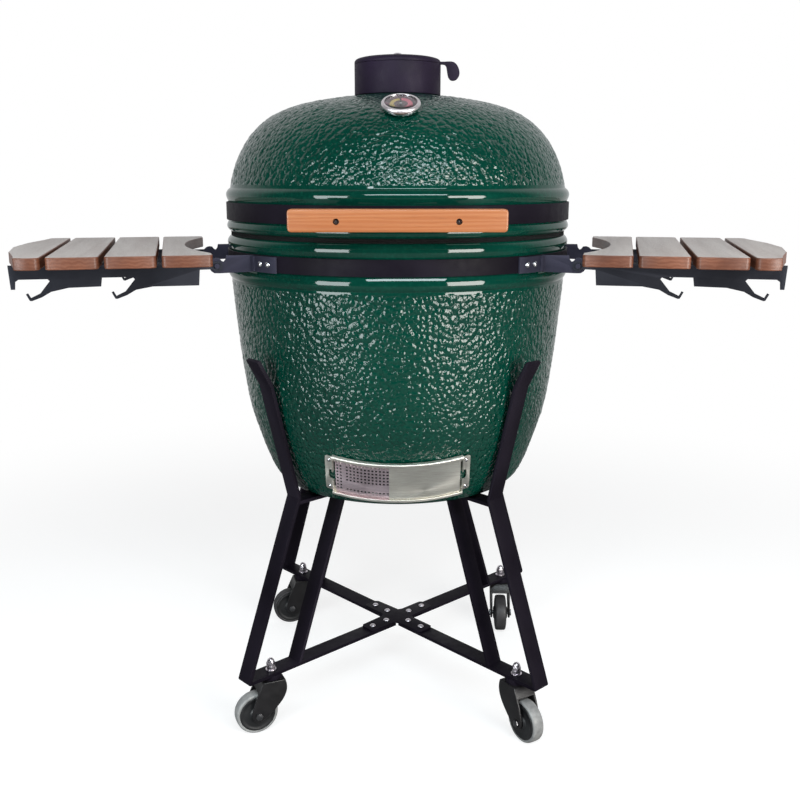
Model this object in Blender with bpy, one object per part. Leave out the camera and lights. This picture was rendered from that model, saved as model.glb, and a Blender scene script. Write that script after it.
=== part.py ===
"""Kamado ceramic grill on a four-legged steel cart with two folding side shelves.

Metres, +Z up. The origin is on the floor, midway between the shelves and on the body's upright axis.
-Y is the front, where the lid handle and the draft door are.
"""
import math

import bmesh
import bpy
from mathutils import Matrix, Vector

GAP = 0.0003            # running gap between pieces that touch
SEG = 36                # facets round the ceramic body and its bands
FACET_DEG = 360 / SEG

# Ceramic body
BASE_BOTTOM = 0.4116
RIM_TOP = 0.8550        # top face of the base's rim
LID_BOTTOM = 0.8623     # bottom face of the lid's rim
RIM_IN = 0.2720         # inner radius at the joint
BELT_R = 0.2995         # ribs beside the bands
GROOVE_R = 0.2965       # floor of the band grooves

# Bands
BAND_IN = GROOVE_R + GAP
BAND_OUT = 0.2998
BASE_BAND = (0.8055, 0.8320)
LID_BAND = (0.8815, 0.9110)

# Rear hinge
HINGE_Y = 0.350
HINGE_Z = 0.8585
KNUCKLE_R = 0.0105
PIN_R = 0.0045

# Lid handle
HANDLE_HALF = 0.158
HANDLE_Z = (0.8750, 0.9080)
HANDLE_Y = (-0.3510, -0.3290)
HANDLE_BOLT_X = 0.088

# Chimney cap
CAP_R = 0.0742
CAP_BOTTOM = 1.0890
CAP_PLATE = (1.1345, 1.1400)
CAP_HOLE_R = 0.0155
CAP_HOLE_AT = 0.0400
CAP_LEVER_HALF = 0.0028

# Thermometer: its foot on the dome, and how far its face leans back from level
THERMO_FOOT = Vector((0.0050, -0.2180, 1.0532))
THERMO_TILT = math.radians(29.5)
THERMO_R = 0.0300

# Draft door: bent round an axis that leans with the body, measured along its slope and out from it
DOOR_R = 0.2600
DOOR_MID_R = 0.2432
DOOR_MID_Z = 0.4680
DOOR_SLOPE = math.atan(0.408)
DOOR_LOW = -0.0405
DOOR_HIGH = 0.0388
DOOR_HALF_DEG = 23.9
DOOR_FLANGE_DEG = 27.1
DOOR_DEPTH = 0.0075
DOOR_SHEET = 0.0012
PANEL_MEET_DEG = -3.0

# Cart
STAND_YAW = math.radians(-2.1)
BAR_W = 0.0320
BAR_T = 0.0060
BAR_Z = 0.1060          # underside of the bottom bars
CORNER_R = 0.3575       # centreline of the outer corner
WAIST = (0.2430, 0.4165)
ARM_BEND = (0.2940, 0.6200)
ARM_TIP = (0.3185, 0.6640)
INNER_FOOT = (0.2500, 0.1120)
INNER_TOP = (0.1420, 0.4080)
NEST_Z = 0.4053         # underside of the bars that carry the body
CROSS_REACH = 0.0800

# Casters
STEM_R = 0.3030
WHEEL_R = 0.0375
TRAIL = 0.0290
AXLE_R = 0.0040
FORK_TOP = 0.0985
CASTERS = (             # name, leg angle, heading of the trail, both in degrees
    ("front_left", 225.0, 203.5),
    ("front_right", 315.0, 301.5),
    ("rear_left", 135.0, 195.0),
    ("rear_right", 45.0, 268.0),
)

# Side shelves, measured out from the body's axis along the shelf
SHELF_SWEEP = 13.0      # degrees that each shelf points forward of sideways
SHELF_TOP = 0.8400
SLAT_T = 0.0180
SLAT_HALF = 0.2400
SLAT_EDGES = ((0.3360, 0.4095), (0.4175, 0.4910), (0.4990, 0.5725), (0.5805, 0.6490))
SHELF_HINGE = (0.3260, 0.8150)
RAIL_AT = 0.1400
RAIL_TOP = SHELF_TOP - SLAT_T - GAP - SHELF_HINGE[1]     # above the fold line
FLANGE_W = 0.0200       # folded top edge of a rail, screwed up into the slats
BRACKET_AT = 0.1360
SHELF_PIN_R = 0.0040


def clear_scene():
    for old in list(bpy.data.objects):
        bpy.data.objects.remove(old, do_unlink=True)


def make_material(name, color, roughness, metallic=0.0):
    material = bpy.data.materials.new(name)
    material.use_nodes = True
    shader = material.node_tree.nodes["Principled BSDF"]
    shader.inputs["Base Color"].default_value = (*color, 1.0)
    shader.inputs["Roughness"].default_value = roughness
    shader.inputs["Metallic"].default_value = metallic
    material.diffuse_color = (*color, 1.0)
    return material


def make_materials():
    return {
        "glaze": make_material("green_glaze", (0.010, 0.085, 0.045), 0.12),
        "fireclay": make_material("fireclay", (0.62, 0.53, 0.42), 0.85),
        "coat": make_material("black_powder_coat", (0.022, 0.020, 0.024), 0.45),
        "iron": make_material("cast_iron", (0.030, 0.030, 0.034), 0.55, 0.3),
        "steel": make_material("stainless_steel", (0.62, 0.60, 0.57), 0.30, 1.0),
        "chrome": make_material("bright_chrome", (0.80, 0.80, 0.82), 0.10, 1.0),
        "honey_wood": make_material("honey_wood", (0.62, 0.30, 0.10), 0.50),
        "grey_wood": make_material("weathered_wood", (0.27, 0.19, 0.14), 0.65),
        "felt": make_material("black_felt", (0.02, 0.02, 0.02), 0.95),
        "tread": make_material("grey_tread", (0.30, 0.31, 0.30), 0.60),
        "lens": make_material("clear_lens", (0.85, 0.88, 0.88), 0.05),
    }


# ---------------------------------------------------------------- building blocks

def place(name, bm, material, origin=(0, 0, 0), turn=0.0, parent=None, smooth=True):
    """Close a bmesh into a named object. Its points are measured from its origin."""
    bmesh.ops.recalc_face_normals(bm, faces=bm.faces[:])
    mesh = bpy.data.meshes.new(name)
    bm.to_mesh(mesh)
    bm.free()
    if smooth:
        mesh.shade_smooth()
        mesh.set_sharp_from_angle(angle=math.radians(32))
    obj = bpy.data.objects.new(name, mesh)
    bpy.context.scene.collection.objects.link(obj)
    obj.location = origin
    obj.rotation_euler = (0, 0, turn)
    obj.parent = parent
    if material:
        mesh.materials.append(material)
    return obj


def axis_empty(name, location, turn=0.0):
    empty = bpy.data.objects.new(name, None)
    bpy.context.scene.collection.objects.link(empty)
    empty.location = location
    empty.rotation_euler = (0, 0, turn)
    return empty


def combine(obj, other, operation):
    """Cut other out of obj, or join it on, and keep other as a hidden guide."""
    other.hide_render = True
    other.display_type = "WIRE"
    step = obj.modifiers.new(other.name, "BOOLEAN")
    step.operation = operation
    step.object = other
    step.solver = "EXACT"
    return obj


def cut(obj, other):
    return combine(obj, other, "DIFFERENCE")


def weld(obj, other):
    return combine(obj, other, "UNION")


def turned(profile, segments=SEG, phase=0.0):
    """Turn an (r, z) outline round Z. Points at r = 0 become poles."""
    bm = bmesh.new()
    rings = []
    for r, z in profile:
        if r < 1e-6:
            rings.append([bm.verts.new((0, 0, z))] * segments)
            continue
        ring = []
        for i in range(segments):
            a = phase + 2 * math.pi * i / segments
            ring.append(bm.verts.new((r * math.cos(a), r * math.sin(a), z)))
        rings.append(ring)
    for k, ring in enumerate(rings):
        following = rings[(k + 1) % len(rings)]
        for i in range(segments):
            j = (i + 1) % segments
            corners = []
            for vert in (ring[i], ring[j], following[j], following[i]):
                if vert not in corners:
                    corners.append(vert)
            if len(corners) > 2:
                bm.faces.new(corners)
    return bm


def sector(outline, start_deg, end_deg, step_deg=6.4):
    """Sweep a closed (r, z) outline round Z between two angles from the front, -Y."""
    bm = bmesh.new()
    steps = max(1, round(abs(end_deg - start_deg) / step_deg))
    rows = []
    for i in range(steps + 1):
        a = math.radians(start_deg + (end_deg - start_deg) * i / steps)
        rows.append([bm.verts.new((r * math.sin(a), -r * math.cos(a), z)) for r, z in outline])
    count = len(outline)
    for row, following in zip(rows, rows[1:]):
        for i in range(count):
            j = (i + 1) % count
            bm.faces.new((row[i], row[j], following[j], following[i]))
    bm.faces.new(rows[0])
    bm.faces.new(rows[-1])
    return bm


def prism(outline, low, high, plane="XY"):
    """Extrude a closed outline. The plane names the outline's two axes."""
    bm = bmesh.new()

    def point(u, v, w):
        return {"XY": (u, v, w), "XZ": (u, w, v), "YZ": (w, u, v)}[plane]

    bottom = [bm.verts.new(point(u, v, low)) for u, v in outline]
    top = [bm.verts.new(point(u, v, high)) for u, v in outline]
    count = len(outline)
    for i in range(count):
        j = (i + 1) % count
        bm.faces.new((bottom[i], bottom[j], top[j], top[i]))
    bm.faces.new(bottom)
    bm.faces.new(top)
    return bm


def box(low, high):
    outline = [(low[0], low[1]), (high[0], low[1]), (high[0], high[1]), (low[0], high[1])]
    return prism(outline, low[2], high[2])


def merge(*parts):
    """Put several closed bmeshes into one, as separate bodies of a cutter."""
    whole = bmesh.new()
    for part in parts:
        scratch = bpy.data.meshes.new("scratch")
        bmesh.ops.recalc_face_normals(part, faces=part.faces[:])
        part.to_mesh(scratch)
        part.free()
        whole.from_mesh(scratch)
        bpy.data.meshes.remove(scratch)
    return whole


def arc(cu, cv, radius, start_deg, end_deg, count):
    """Points on a circle, both ends included."""
    points = []
    for i in range(count):
        a = math.radians(start_deg + (end_deg - start_deg) * i / (count - 1))
        points.append((cu + radius * math.cos(a), cv + radius * math.sin(a)))
    return points


def cylinder(radius, length, segments=16, middle=(0, 0, 0), direction=(0, 0, 1)):
    bm = turned([(0, -length / 2), (radius, -length / 2), (radius, length / 2), (0, length / 2)], segments)
    spin = Vector(direction).to_track_quat("Z", "Y").to_matrix().to_4x4()
    bm.transform(Matrix.Translation(middle) @ spin)
    return bm


def tube(path, radius, sides=5):
    """A round wire along a list of points, closed at its ends."""
    bm = bmesh.new()
    rings = []
    for i, here in enumerate(path):
        ahead = path[min(i + 1, len(path) - 1)] - path[max(i - 1, 0)]
        spin = ahead.to_track_quat("Z", "X").to_matrix()
        ring = []
        for k in range(sides):
            a = 2 * math.pi * k / sides
            ring.append(bm.verts.new(here + spin @ Vector((math.cos(a), math.sin(a), 0)) * radius))
        rings.append(ring)
    for ring, following in zip(rings, rings[1:]):
        for k in range(sides):
            j = (k + 1) % sides
            bm.faces.new((ring[k], ring[j], following[j], following[k]))
    bm.faces.new(rings[0])
    bm.faces.new(rings[-1])
    return bm


def bent_bar(path, width=BAR_W, thickness=BAR_T):
    """Flat bar bent along (x, z) points, its width along Y, with mitred corners."""
    left, right = [], []
    for i, here in enumerate(path):
        here = Vector(here)
        before = (here - Vector(path[i - 1])).normalized() if i else None
        after = (Vector(path[i + 1]) - here).normalized() if i + 1 < len(path) else None
        before = before or after
        after = after or before
        along = (before + after).normalized()
        normal = Vector((-along.y, along.x))
        reach = thickness / 2 / max(0.2, along.dot(after))
        left.append(tuple(here + normal * reach))
        right.append(tuple(here - normal * reach))
    return prism(left + right[::-1], -width / 2, width / 2, "XZ")


# ---------------------------------------------------------------- ceramic body

def add_base_shell(mats):
    outer = [
        (0.0, BASE_BOTTOM), (0.190, BASE_BOTTOM), (0.2110, 0.4180), (0.2256, 0.4330),
        (0.2395, 0.4620), (0.2560, 0.5080), (0.2700, 0.5620), (0.2795, 0.6230),
        (0.2880, 0.7000), (0.2950, 0.7830), (BELT_R, 0.7880), (BELT_R, 0.8015),
        (GROOVE_R, 0.8045), (GROOVE_R, 0.8330), (BELT_R, 0.8355), (BELT_R, 0.8490), (0.2965, RIM_TOP),
    ]
    inner = [
        (RIM_IN, RIM_TOP), (0.2640, 0.700), (0.2480, 0.570), (0.2200, 0.480), (0.1960, 0.4400),
        (0.0, 0.4400),
    ]
    shell = place("base_shell", turned(outer + inner), mats["glaze"])
    port = place("draft_port_cutter", box((-0.074, -0.300, 0.4480), (0.074, -0.160, 0.4880)), None)
    return cut(shell, port)


def add_lid_shell(mats):
    outer = [
        (0.2965, LID_BOTTOM), (BELT_R, 0.8665), (BELT_R, 0.8770), (GROOVE_R, 0.8800),
        (GROOVE_R, 0.9125), (BELT_R, 0.9150), (0.2985, 0.9265), (0.2930, 0.9320),
        (0.2805, 0.9765), (0.2640, 1.0090), (0.2440, 1.0335), (0.2180, 1.0530), (0.1850, 1.0668),
        (0.1450, 1.0760), (0.0790, 1.0855), (0.0755, 1.0885), (0.0640, 1.0885),
        (0.0640, 1.1060), (0.0520, 1.1060),
    ]
    inner = [
        (0.0520, 1.0600), (0.1200, 1.0545), (0.1900, 1.0370), (0.2350, 1.0020), (0.2620, 0.9450),
        (RIM_IN, LID_BOTTOM),
    ]
    shell = place("lid_shell", turned(outer + inner), mats["glaze"])
    hole = cylinder(0.0044, 0.12, 12, THERMO_FOOT, thermo_normal())
    return cut(shell, place("probe_hole_cutter", hole, None))


def add_gaskets(mats):
    for name, low, high in (("lower_gasket", 0.8553, 0.8585), ("upper_gasket", 0.8588, 0.8620)):
        ring = [(0.2930, high), (0.2930, low), (0.2760, low), (0.2760, high)]
        place(name, turned(ring), mats["felt"])


def add_band(name, span, mats):
    low, high = span
    place(name, turned([(BAND_OUT, low), (BAND_OUT, high), (BAND_IN, high), (BAND_IN, low)]), mats["coat"])


def add_interior(mats):
    """Fire box, fire ring and the two grates, stacked inside the base."""
    pot = [
        (0.1850, 0.4403), (0.2120, 0.4900), (0.2380, 0.5700), (0.2500, 0.6600), (0.2280, 0.6600),
        (0.2160, 0.5700), (0.1960, 0.5200), (0.1820, 0.5200), (0.1640, 0.4640), (0.1600, 0.4403),
    ]
    fire_box = place("fire_box", turned(pot, 24), mats["fireclay"])
    port = place("ash_port_cutter", box((-0.060, -0.260, 0.4300), (0.060, -0.140, 0.5050)), None)
    cut(fire_box, port)
    ring = [(0.2500, 0.6603), (0.2560, 0.8000), (0.2340, 0.8000), (0.2280, 0.6603)]
    place("fire_ring", turned(ring, 24), mats["fireclay"])
    add_grate("charcoal_grate", 0.1900, 0.5203, 0.0080, 0.0400, 0.0220, mats)
    add_grate("cooking_grate", 0.2520, 0.8003, 0.0080, 0.0420, 0.0280, mats)


def add_grate(name, radius, low, thickness, pitch, slot, mats):
    """A round plate with straight slots across it."""
    rim = arc(0, 0, radius, 0, 360 - 360 / 48, 48)
    grate = place(name, prism(rim, low, low + thickness), mats["iron"])
    slots = []
    count = int((radius - slot) / pitch)
    for i in range(-count, count + 1):
        x = i * pitch
        reach = math.sqrt((radius - 0.012) ** 2 - (abs(x) + slot / 2) ** 2)
        slots.append(box((x - slot / 2, -reach, low - 0.002), (x + slot / 2, reach, low + thickness + 0.002)))
    cut(grate, place(name + "_slots", merge(*slots), None))


# ---------------------------------------------------------------- lid fittings

def add_handle(mats):
    """The wooden bar and the two standoffs that carry it."""
    z0, z1 = HANDLE_Z
    y0, y1 = HANDLE_Y
    r = 0.006
    outline = []
    for cx, cz, start in ((1, 1, 0), (-1, 1, 90), (-1, -1, 180), (1, -1, 270)):
        mid_z = (z0 + z1) / 2 + cz * ((z1 - z0) / 2 - r)
        outline += arc(cx * (HANDLE_HALF - r), mid_z, r, start, start + 90, 4)
    place("lid_handle", prism(outline, y0, y1, "XZ"), mats["honey_wood"])
    for side, name in ((-1, "left"), (1, "right")):
        x = side * HANDLE_BOLT_X
        post = box((x - 0.013, y1 + GAP, 0.8825), (x + 0.013, -0.2500, 0.9020))
        body = place("handle_standoff_" + name, post, mats["coat"])
        bore = cylinder(BAND_OUT + GAP, 0.1, SEG, (0, 0, 0.8900))
        cut(body, place("standoff_seat_" + name, bore, None))


def add_cap(mats):
    """Chimney cap: fixed body, turning disc with its lever, and the pivot bolt."""
    low, high = CAP_PLATE
    body_profile = [
        (CAP_R, high), (CAP_R, CAP_BOTTOM), (0.0653, CAP_BOTTOM), (0.0653, 1.1085), (0.0600, 1.1120),
        (0.0600, low), (0.0048, low), (0.0048, high),
    ]
    body = place("cap_body", turned(body_profile, 28), mats["iron"])
    cut(body, place("cap_body_vents", vent_holes(0.0, low - 0.003, high + 0.003), None))
    disc_low = high + 0.0004
    disc_profile = [
        (0.0048, 1.1550), (0.0200, 1.1545), (0.0450, 1.1528), (0.0640, 1.1503), (0.0712, 1.1482),
        (CAP_R, 1.1450), (CAP_R, disc_low), (0.0048, disc_low),
    ]
    disc = place("cap_disc", turned(disc_profile, 28), mats["iron"])
    weld(disc, place("cap_lever_blank", prism(lever_outline(), -CAP_LEVER_HALF, CAP_LEVER_HALF, "XZ"), None))
    cut(disc, place("cap_disc_vents", vent_holes(45.0, disc_low - 0.003, 1.1600), None))
    bolt = [
        (0.0, 1.1602), (0.0050, 1.1596), (0.0085, 1.1572), (0.0085, 1.1554), (0.0044, 1.1554),
        (0.0044, 1.1240), (0.0, 1.1240),
    ]
    place("cap_pivot", turned(bolt, 16), mats["steel"])


def vent_holes(start_deg, low, high):
    holes = []
    for k in range(4):
        a = math.radians(start_deg + 90 * k)
        middle = (CAP_HOLE_AT * math.cos(a), CAP_HOLE_AT * math.sin(a), (low + high) / 2)
        holes.append(cylinder(CAP_HOLE_R, high - low, 12, middle))
    return merge(*holes)


def lever_outline():
    """A short arm from the disc's edge that drops into a teardrop finger tab."""
    return [
        (0.0680, 1.1452), (0.0930, 1.1456), (0.1000, 1.1425), (0.1050, 1.1350), (0.1067, 1.1265),
        (0.1050, 1.1200), (0.1005, 1.1153), (0.0950, 1.1140), (0.0905, 1.1155), (0.0870, 1.1205),
        (0.0852, 1.1290), (0.0838, 1.1365), (0.0815, 1.1395), (0.0785, 1.1405), (0.0680, 1.1407),
    ]


def thermo_normal():
    return Vector((0.0, -math.sin(THERMO_TILT), math.cos(THERMO_TILT)))


def along_thermo(bm):
    """Stand a piece that was turned about Z on the thermometer's axis."""
    bm.transform(Matrix.Rotation(THERMO_TILT, 4, "X"))
    return bm


def add_thermometer(mats):
    case = [
        (0.0, -0.0700), (0.0040, -0.0680), (0.0040, 0.0006), (THERMO_R - 0.003, 0.0006),
        (THERMO_R, 0.0040), (THERMO_R, 0.0090), (0.0285, 0.0115), (0.0266, 0.0115),
        (0.0262, 0.0070), (0.0, 0.0070),
    ]
    place("thermometer_case", along_thermo(turned(case, 24)), mats["chrome"], THERMO_FOOT)
    needle = [
        (-0.0012, -0.0060), (0.0012, -0.0060), (0.0016, 0.0), (0.0003, 0.0190), (-0.0003, 0.0190),
        (-0.0016, 0.0),
    ]
    place("thermometer_needle", along_thermo(prism(needle, 0.0074, 0.0081)), mats["coat"], THERMO_FOOT)
    nut = along_thermo(prism(arc(0, 0, 0.0085, 0, 300, 6), -0.0395, -0.0340))
    nut = place("thermometer_nut", nut, mats["steel"], THERMO_FOOT, smooth=False)
    bore = along_thermo(cylinder(0.0043, 0.02, 24, (0, 0, -0.0370)))
    cut(nut, place("thermometer_nut_bore", bore, None, THERMO_FOOT))
    lens = [(0.0, 0.0088), (0.0258, 0.0088), (0.0258, 0.0104), (0.0, 0.0104)]
    place("thermometer_lens", along_thermo(turned(lens, 24)), mats["lens"], THERMO_FOOT)


# ---------------------------------------------------------------- rear hinge

def plate_outline(low, high, inner, outer):
    return [(outer, low), (outer, high), (inner, high), (inner, low)]


def hinge_half(name, span, arms, root, mats):
    """A plate on the band, with a pair of arms that end in knuckles round the pin."""
    seat = BAND_OUT + GAP
    outline = plate_outline(span[0], span[1], seat, seat + 0.004)
    plate = sector(outline, 180 - 2 * FACET_DEG, 180 + 2 * FACET_DEG, FACET_DEG)
    plate = place(name, plate, mats["coat"])
    root_y, low, high = root
    toward = math.degrees(math.atan2((low + high) / 2 - HINGE_Z, root_y - HINGE_Y))
    outline = arc(HINGE_Y, HINGE_Z, KNUCKLE_R, toward + 90, toward + 270, 9) + [(root_y, high), (root_y, low)]
    for k, x in enumerate(arms):
        weld(plate, place("%s_arm_%d" % (name, k), prism(outline, x - 0.005, x + 0.005, "YZ"), None))
    hole = cylinder(PIN_R + 0.0003, 0.2, 16, (0, HINGE_Y, HINGE_Z), (1, 0, 0))
    return cut(plate, place(name + "_bore", hole, None))


def add_hinge(mats):
    hinge_half("lower_hinge_bracket", (0.8065, 0.8310), (-0.0440, 0.0440), (0.2985, 0.8085, 0.8290), mats)
    hinge_half("upper_hinge_bracket", (0.8825, 0.9100), (-0.0550, 0.0550), (0.2970, 0.8845, 0.9080), mats)
    pin = cylinder(PIN_R, 0.134, 14, (0, 0, 0), (1, 0, 0))
    place("hinge_pin", pin, mats["steel"], (0, HINGE_Y, HINGE_Z))
    for side, name in ((-1, "left"), (1, "right")):
        turns, steps = 5, 7
        path = []
        for i in range(turns * steps + 1):
            a = 2 * math.pi * i / steps
            x = side * (0.0060 + 0.0290 * i / (turns * steps))
            path.append(Vector((x, HINGE_Y + 0.0078 * math.cos(a), HINGE_Z + 0.0078 * math.sin(a))))
        place("hinge_spring_" + name, tube(path, 0.0014, 4), mats["steel"])


# ---------------------------------------------------------------- draft door

def door_centre():
    """Where the door's own axis crosses the plane of the middle of the door."""
    c, s = math.cos(DOOR_SLOPE), math.sin(DOOR_SLOPE)
    return Vector((0, c * DOOR_R - DOOR_MID_R, DOOR_MID_Z + s * DOOR_R))


def leaned(bm):
    """Lean a piece that was bent round Z onto the door's axis."""
    bm.transform(Matrix.Rotation(DOOR_SLOPE, 4, "X"))
    return bm


def door_section(low, high, back, front):
    back, front = DOOR_R + back, DOOR_R + front
    return [(back, low), (front, low), (front, high), (back, high)]


def door_piece(name, bm, material):
    return place(name, leaned(bm), material, door_centre())


def add_draft_door(mats):
    half = DOOR_HALF_DEG
    inside = half - 0.6
    lip = DOOR_SHEET
    section = door_section(DOOR_LOW, DOOR_HIGH, 0.0, DOOR_DEPTH)
    frame = door_piece("door_frame", sector(section, -half, half), mats["steel"])
    for side in (-1, 1):
        flange = door_section(-0.0350, 0.0350, 0.0004, 0.0020)
        flange = sector(flange, side * (half - 0.3), side * DOOR_FLANGE_DEG)
        weld(frame, door_piece("door_flange", flange, None))
    pocket = door_section(DOOR_LOW + lip, DOOR_HIGH - lip, lip, DOOR_DEPTH - lip)
    cut(frame, door_piece("door_pocket", sector(pocket, -inside, inside), None))
    mouth = door_section(DOOR_LOW + 0.0052, DOOR_HIGH - 0.0052, DOOR_DEPTH - 0.0020, DOOR_DEPTH + 0.003)
    cut(frame, door_piece("door_mouth", sector(mouth, 0.15 - inside, inside - 0.15), None))
    window = door_section(-0.0270, 0.0260, -0.003, lip + 0.0008)
    cut(frame, door_piece("door_window", sector(window, -18.5, 18.5), None))
    for side in (-1, 1):
        cut(frame, door_piece("door_finger_notch", finger_notch(side * 24.4), None))
    low, high = DOOR_LOW + lip + 0.0004, DOOR_HIGH - lip - 0.0004
    screen = sector(door_section(low, high, 0.0018, 0.0030), -inside + 0.4, PANEL_MEET_DEG + 1.2, 2.9)
    screen = door_piece("draft_screen", screen, mats["steel"])
    cut(screen, door_piece("screen_slots", screen_slots(), None))
    panel = sector(door_section(low, high, 0.0037, 0.0049), PANEL_MEET_DEG, inside - 0.4, 2.9)
    door_piece("draft_panel", panel, mats["steel"])


def screen_slots():
    """Rows of square holes over most of the screen, and a low row near its foot."""
    holes = []
    for column in range(6):
        middle = -18.9 + 3.0 * column
        for up, reach in ((0.0235, 0.0040), (0.0130, 0.0040), (0.0025, 0.0040), (-0.0245, 0.0016)):
            outline = door_section(up - reach, up + reach, 0.0005, 0.0045)
            holes.append(sector(outline, middle - 0.9, middle + 0.9))
    return merge(*holes)


def finger_notch(azimuth_deg):
    """An upright oval through the end of the frame, where a finger reaches the sliding sheet."""
    a = math.radians(azimuth_deg)
    outline = arc(0, 0.0020, 0.0060, 0, 180, 6) + arc(0, -0.0060, 0.0060, 180, 360, 6)
    bm = prism(outline, -0.012, 0.012, "XZ")
    where = Matrix.Translation((DOOR_R * math.sin(a), -DOOR_R * math.cos(a), 0))
    bm.transform(where @ Matrix.Rotation(a, 4, "Z"))
    return bm


# ---------------------------------------------------------------- cart

def add_leg(name, angle, mats):
    """One welded leg: bottom bar, outer bar and arm in one bend, an inner bar and a top bar."""
    turn = STAND_YAW + math.radians(angle)
    foot_z = BAR_Z + BAR_T / 2
    path = [(0.0190, foot_z), (CORNER_R, foot_z), WAIST, ARM_BEND, ARM_TIP]
    leg = place(name + "_leg", bent_bar(path), mats["coat"], turn=turn, smooth=False)
    top_z = NEST_Z + BAR_T / 2
    path = [(INNER_FOOT[0] + 0.0011, BAR_Z + 0.003), INNER_FOOT, (INNER_TOP[0], top_z)]
    inner = bent_bar(path, BAR_W - 0.0004)
    weld(leg, place(name + "_inner_bar", inner, None, turn=turn))
    top = bent_bar([(0.0190, top_z), (WAIST[0] + 0.0005, top_z)], BAR_W - 0.0008)
    weld(leg, place(name + "_top_bar", top, None, turn=turn))
    race = cylinder(0.0190, 0.0090, 16, (STEM_R, 0, BAR_Z - 0.0025))
    weld(leg, place(name + "_race", race, None, turn=turn))


def cross_outline():
    """A four-armed star with rounded inner corners and blunt ends."""
    half, reach, fillet = 0.0170, CROSS_REACH, 0.0100
    outline = []
    for k in range(4):
        a = math.radians(90 * k)
        c, s = math.cos(a), math.sin(a)
        corner = half + fillet
        arm = [(reach, -half + 0.005), (reach, half - 0.005), (reach - 0.005, half)]
        arm += [(corner - fillet * math.sin(t), corner - fillet * math.cos(t)) for t in (0.0, math.pi / 4)]
        arm = [(reach - 0.005, -half)] + arm
        outline += [(x * c - y * s, x * s + y * c) for x, y in arm]
    return outline


def add_cross_plates(mats):
    turn = STAND_YAW + math.radians(45)
    spans = (("cross_plate", BAR_Z + BAR_T + GAP, 0.0030), ("nest_plate", NEST_Z - 0.0040 - GAP, 0.0040))
    for name, low, thickness in spans:
        place(name, prism(cross_outline(), low, low + thickness), mats["coat"], turn=turn, smooth=False)


def add_caster(name, angle, heading, mats):
    """A swivelling fork with its axle, and the wheel that runs on it."""
    a = STAND_YAW + math.radians(angle)
    stem = (STEM_R * math.cos(a), STEM_R * math.sin(a), 0)
    empty = axis_empty(name + "_swivel", stem, math.radians(heading))
    half = 0.0205
    side = arc(TRAIL, WHEEL_R, 0.0105, -110, 20, 6) + [(0.0310, 0.0700), (0.0210, FORK_TOP)]
    side += [(-0.0210, FORK_TOP), (-0.0220, 0.0860), (-0.0080, 0.0700)]
    fork = place(name + "_fork", prism(side, -half, half, "XZ"), mats["coat"], parent=empty, smooth=False)
    room = prism([(-0.05, 0.0), (0.09, 0.0), (0.09, 0.0800), (-0.05, 0.0800)], -0.0168, 0.0168, "XZ")
    cut(fork, place(name + "_fork_room", room, None, parent=empty))
    axle = cylinder(AXLE_R, 0.047, 12, (TRAIL, 0, WHEEL_R), (0, 1, 0))
    weld(fork, place(name + "_axle", axle, None, parent=empty))
    side = [(AXLE_R + GAP, 0.0155), (0.0140, 0.0150), (0.0165, 0.0115), (0.0350, 0.0110), (WHEEL_R, 0.0050)]
    bm = turned([(r, -z) for r, z in side] + side[::-1], 20)
    bm.transform(Matrix.Rotation(math.pi / 2, 4, "X"))
    place(name + "_wheel", bm, mats["tread"], (TRAIL, 0, WHEEL_R), parent=empty)


# ---------------------------------------------------------------- side shelves

def slat_outline(index):
    """Outline of one slat in the shelf's own plane, out along X and across along Y."""
    near, far = SLAT_EDGES[index]
    near, far, half, r = near - SHELF_HINGE[0], far - SHELF_HINGE[0], SLAT_HALF, 0.006
    corners = ((far, half, 0), (near, half, 90), (near, -half, 180), (far, -half, 270))
    outline = []
    for x, y, start in corners:
        if index == 3 and x == far:
            continue
        cx, cy = x - math.copysign(r, x - (near + far) / 2), y - math.copysign(r, y)
        outline += arc(cx, cy, r, start, start + 90, 3)
    if index == 3:          # the outer end is one shallow bow with round shoulders
        rise, span = 0.0350, half * 0.955
        steps = (-0.85, -0.45, 0, 0.45, 0.85)
        bow = [(far - rise + rise * math.cos(math.pi / 2 * t), span * t) for t in steps]
        shoulder = [(far - 0.0440, half), (far - 0.0330, half - 0.0060)]
        outline += [(x, -y) for x, y in shoulder] + bow + shoulder[::-1]
    if index == 0:          # the inner edge is hollowed to follow the body
        deep, span = 0.0365, 0.2000
        radius = (span ** 2 + deep ** 2) / (2 * deep)
        hollow = []
        for k in range(9):
            y = span - 2 * span * k / 8
            hollow.append((near + deep - radius + math.sqrt(radius ** 2 - y ** 2), y))
        cut_at = next(i for i, p in enumerate(outline) if p[1] < 0)
        outline = outline[:cut_at] + hollow + outline[cut_at:]
    return outline


def rail_outline():
    """Side view of a shelf rail: hinge eye, web and two tool hooks, measured from the hinge."""
    hook = [
        (0.000, 0.000), (0.002, -0.006), (-0.012, -0.014), (-0.027, -0.0195), (-0.0300, -0.0190),
        (-0.0350, -0.0090), (-0.0320, -0.0075), (-0.0282, -0.0148), (-0.0140, -0.0080),
    ]
    # the eye, then the web's lower edge outwards, each notch with its hook, and the straight top edge
    outline = arc(0, 0, 0.0090, 130, 325, 8)
    outline += [(0.0270, -0.0055), (0.0290, -0.0300), (0.1000, -0.0300)]
    outline += mirrored_hook(hook, 0.1280)
    outline += [(0.1270, -0.0180), (0.1300, -0.0145), (0.1760, -0.0145), (0.1780, -0.0280), (0.2260, -0.0290)]
    outline += mirrored_hook(hook, 0.2540)
    outline += [(0.2530, -0.0180), (0.2560, -0.0150), (0.2980, -0.0150), (0.3030, -0.0185), (0.3040, -0.0300)]
    outline += [(0.3100, -0.0300), (0.3120, RAIL_TOP), (0.0040, RAIL_TOP)]
    return outline


def mirrored_hook(hook, at):
    return [(at - x, y - 0.0285) for x, y in hook[1:]]


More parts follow.
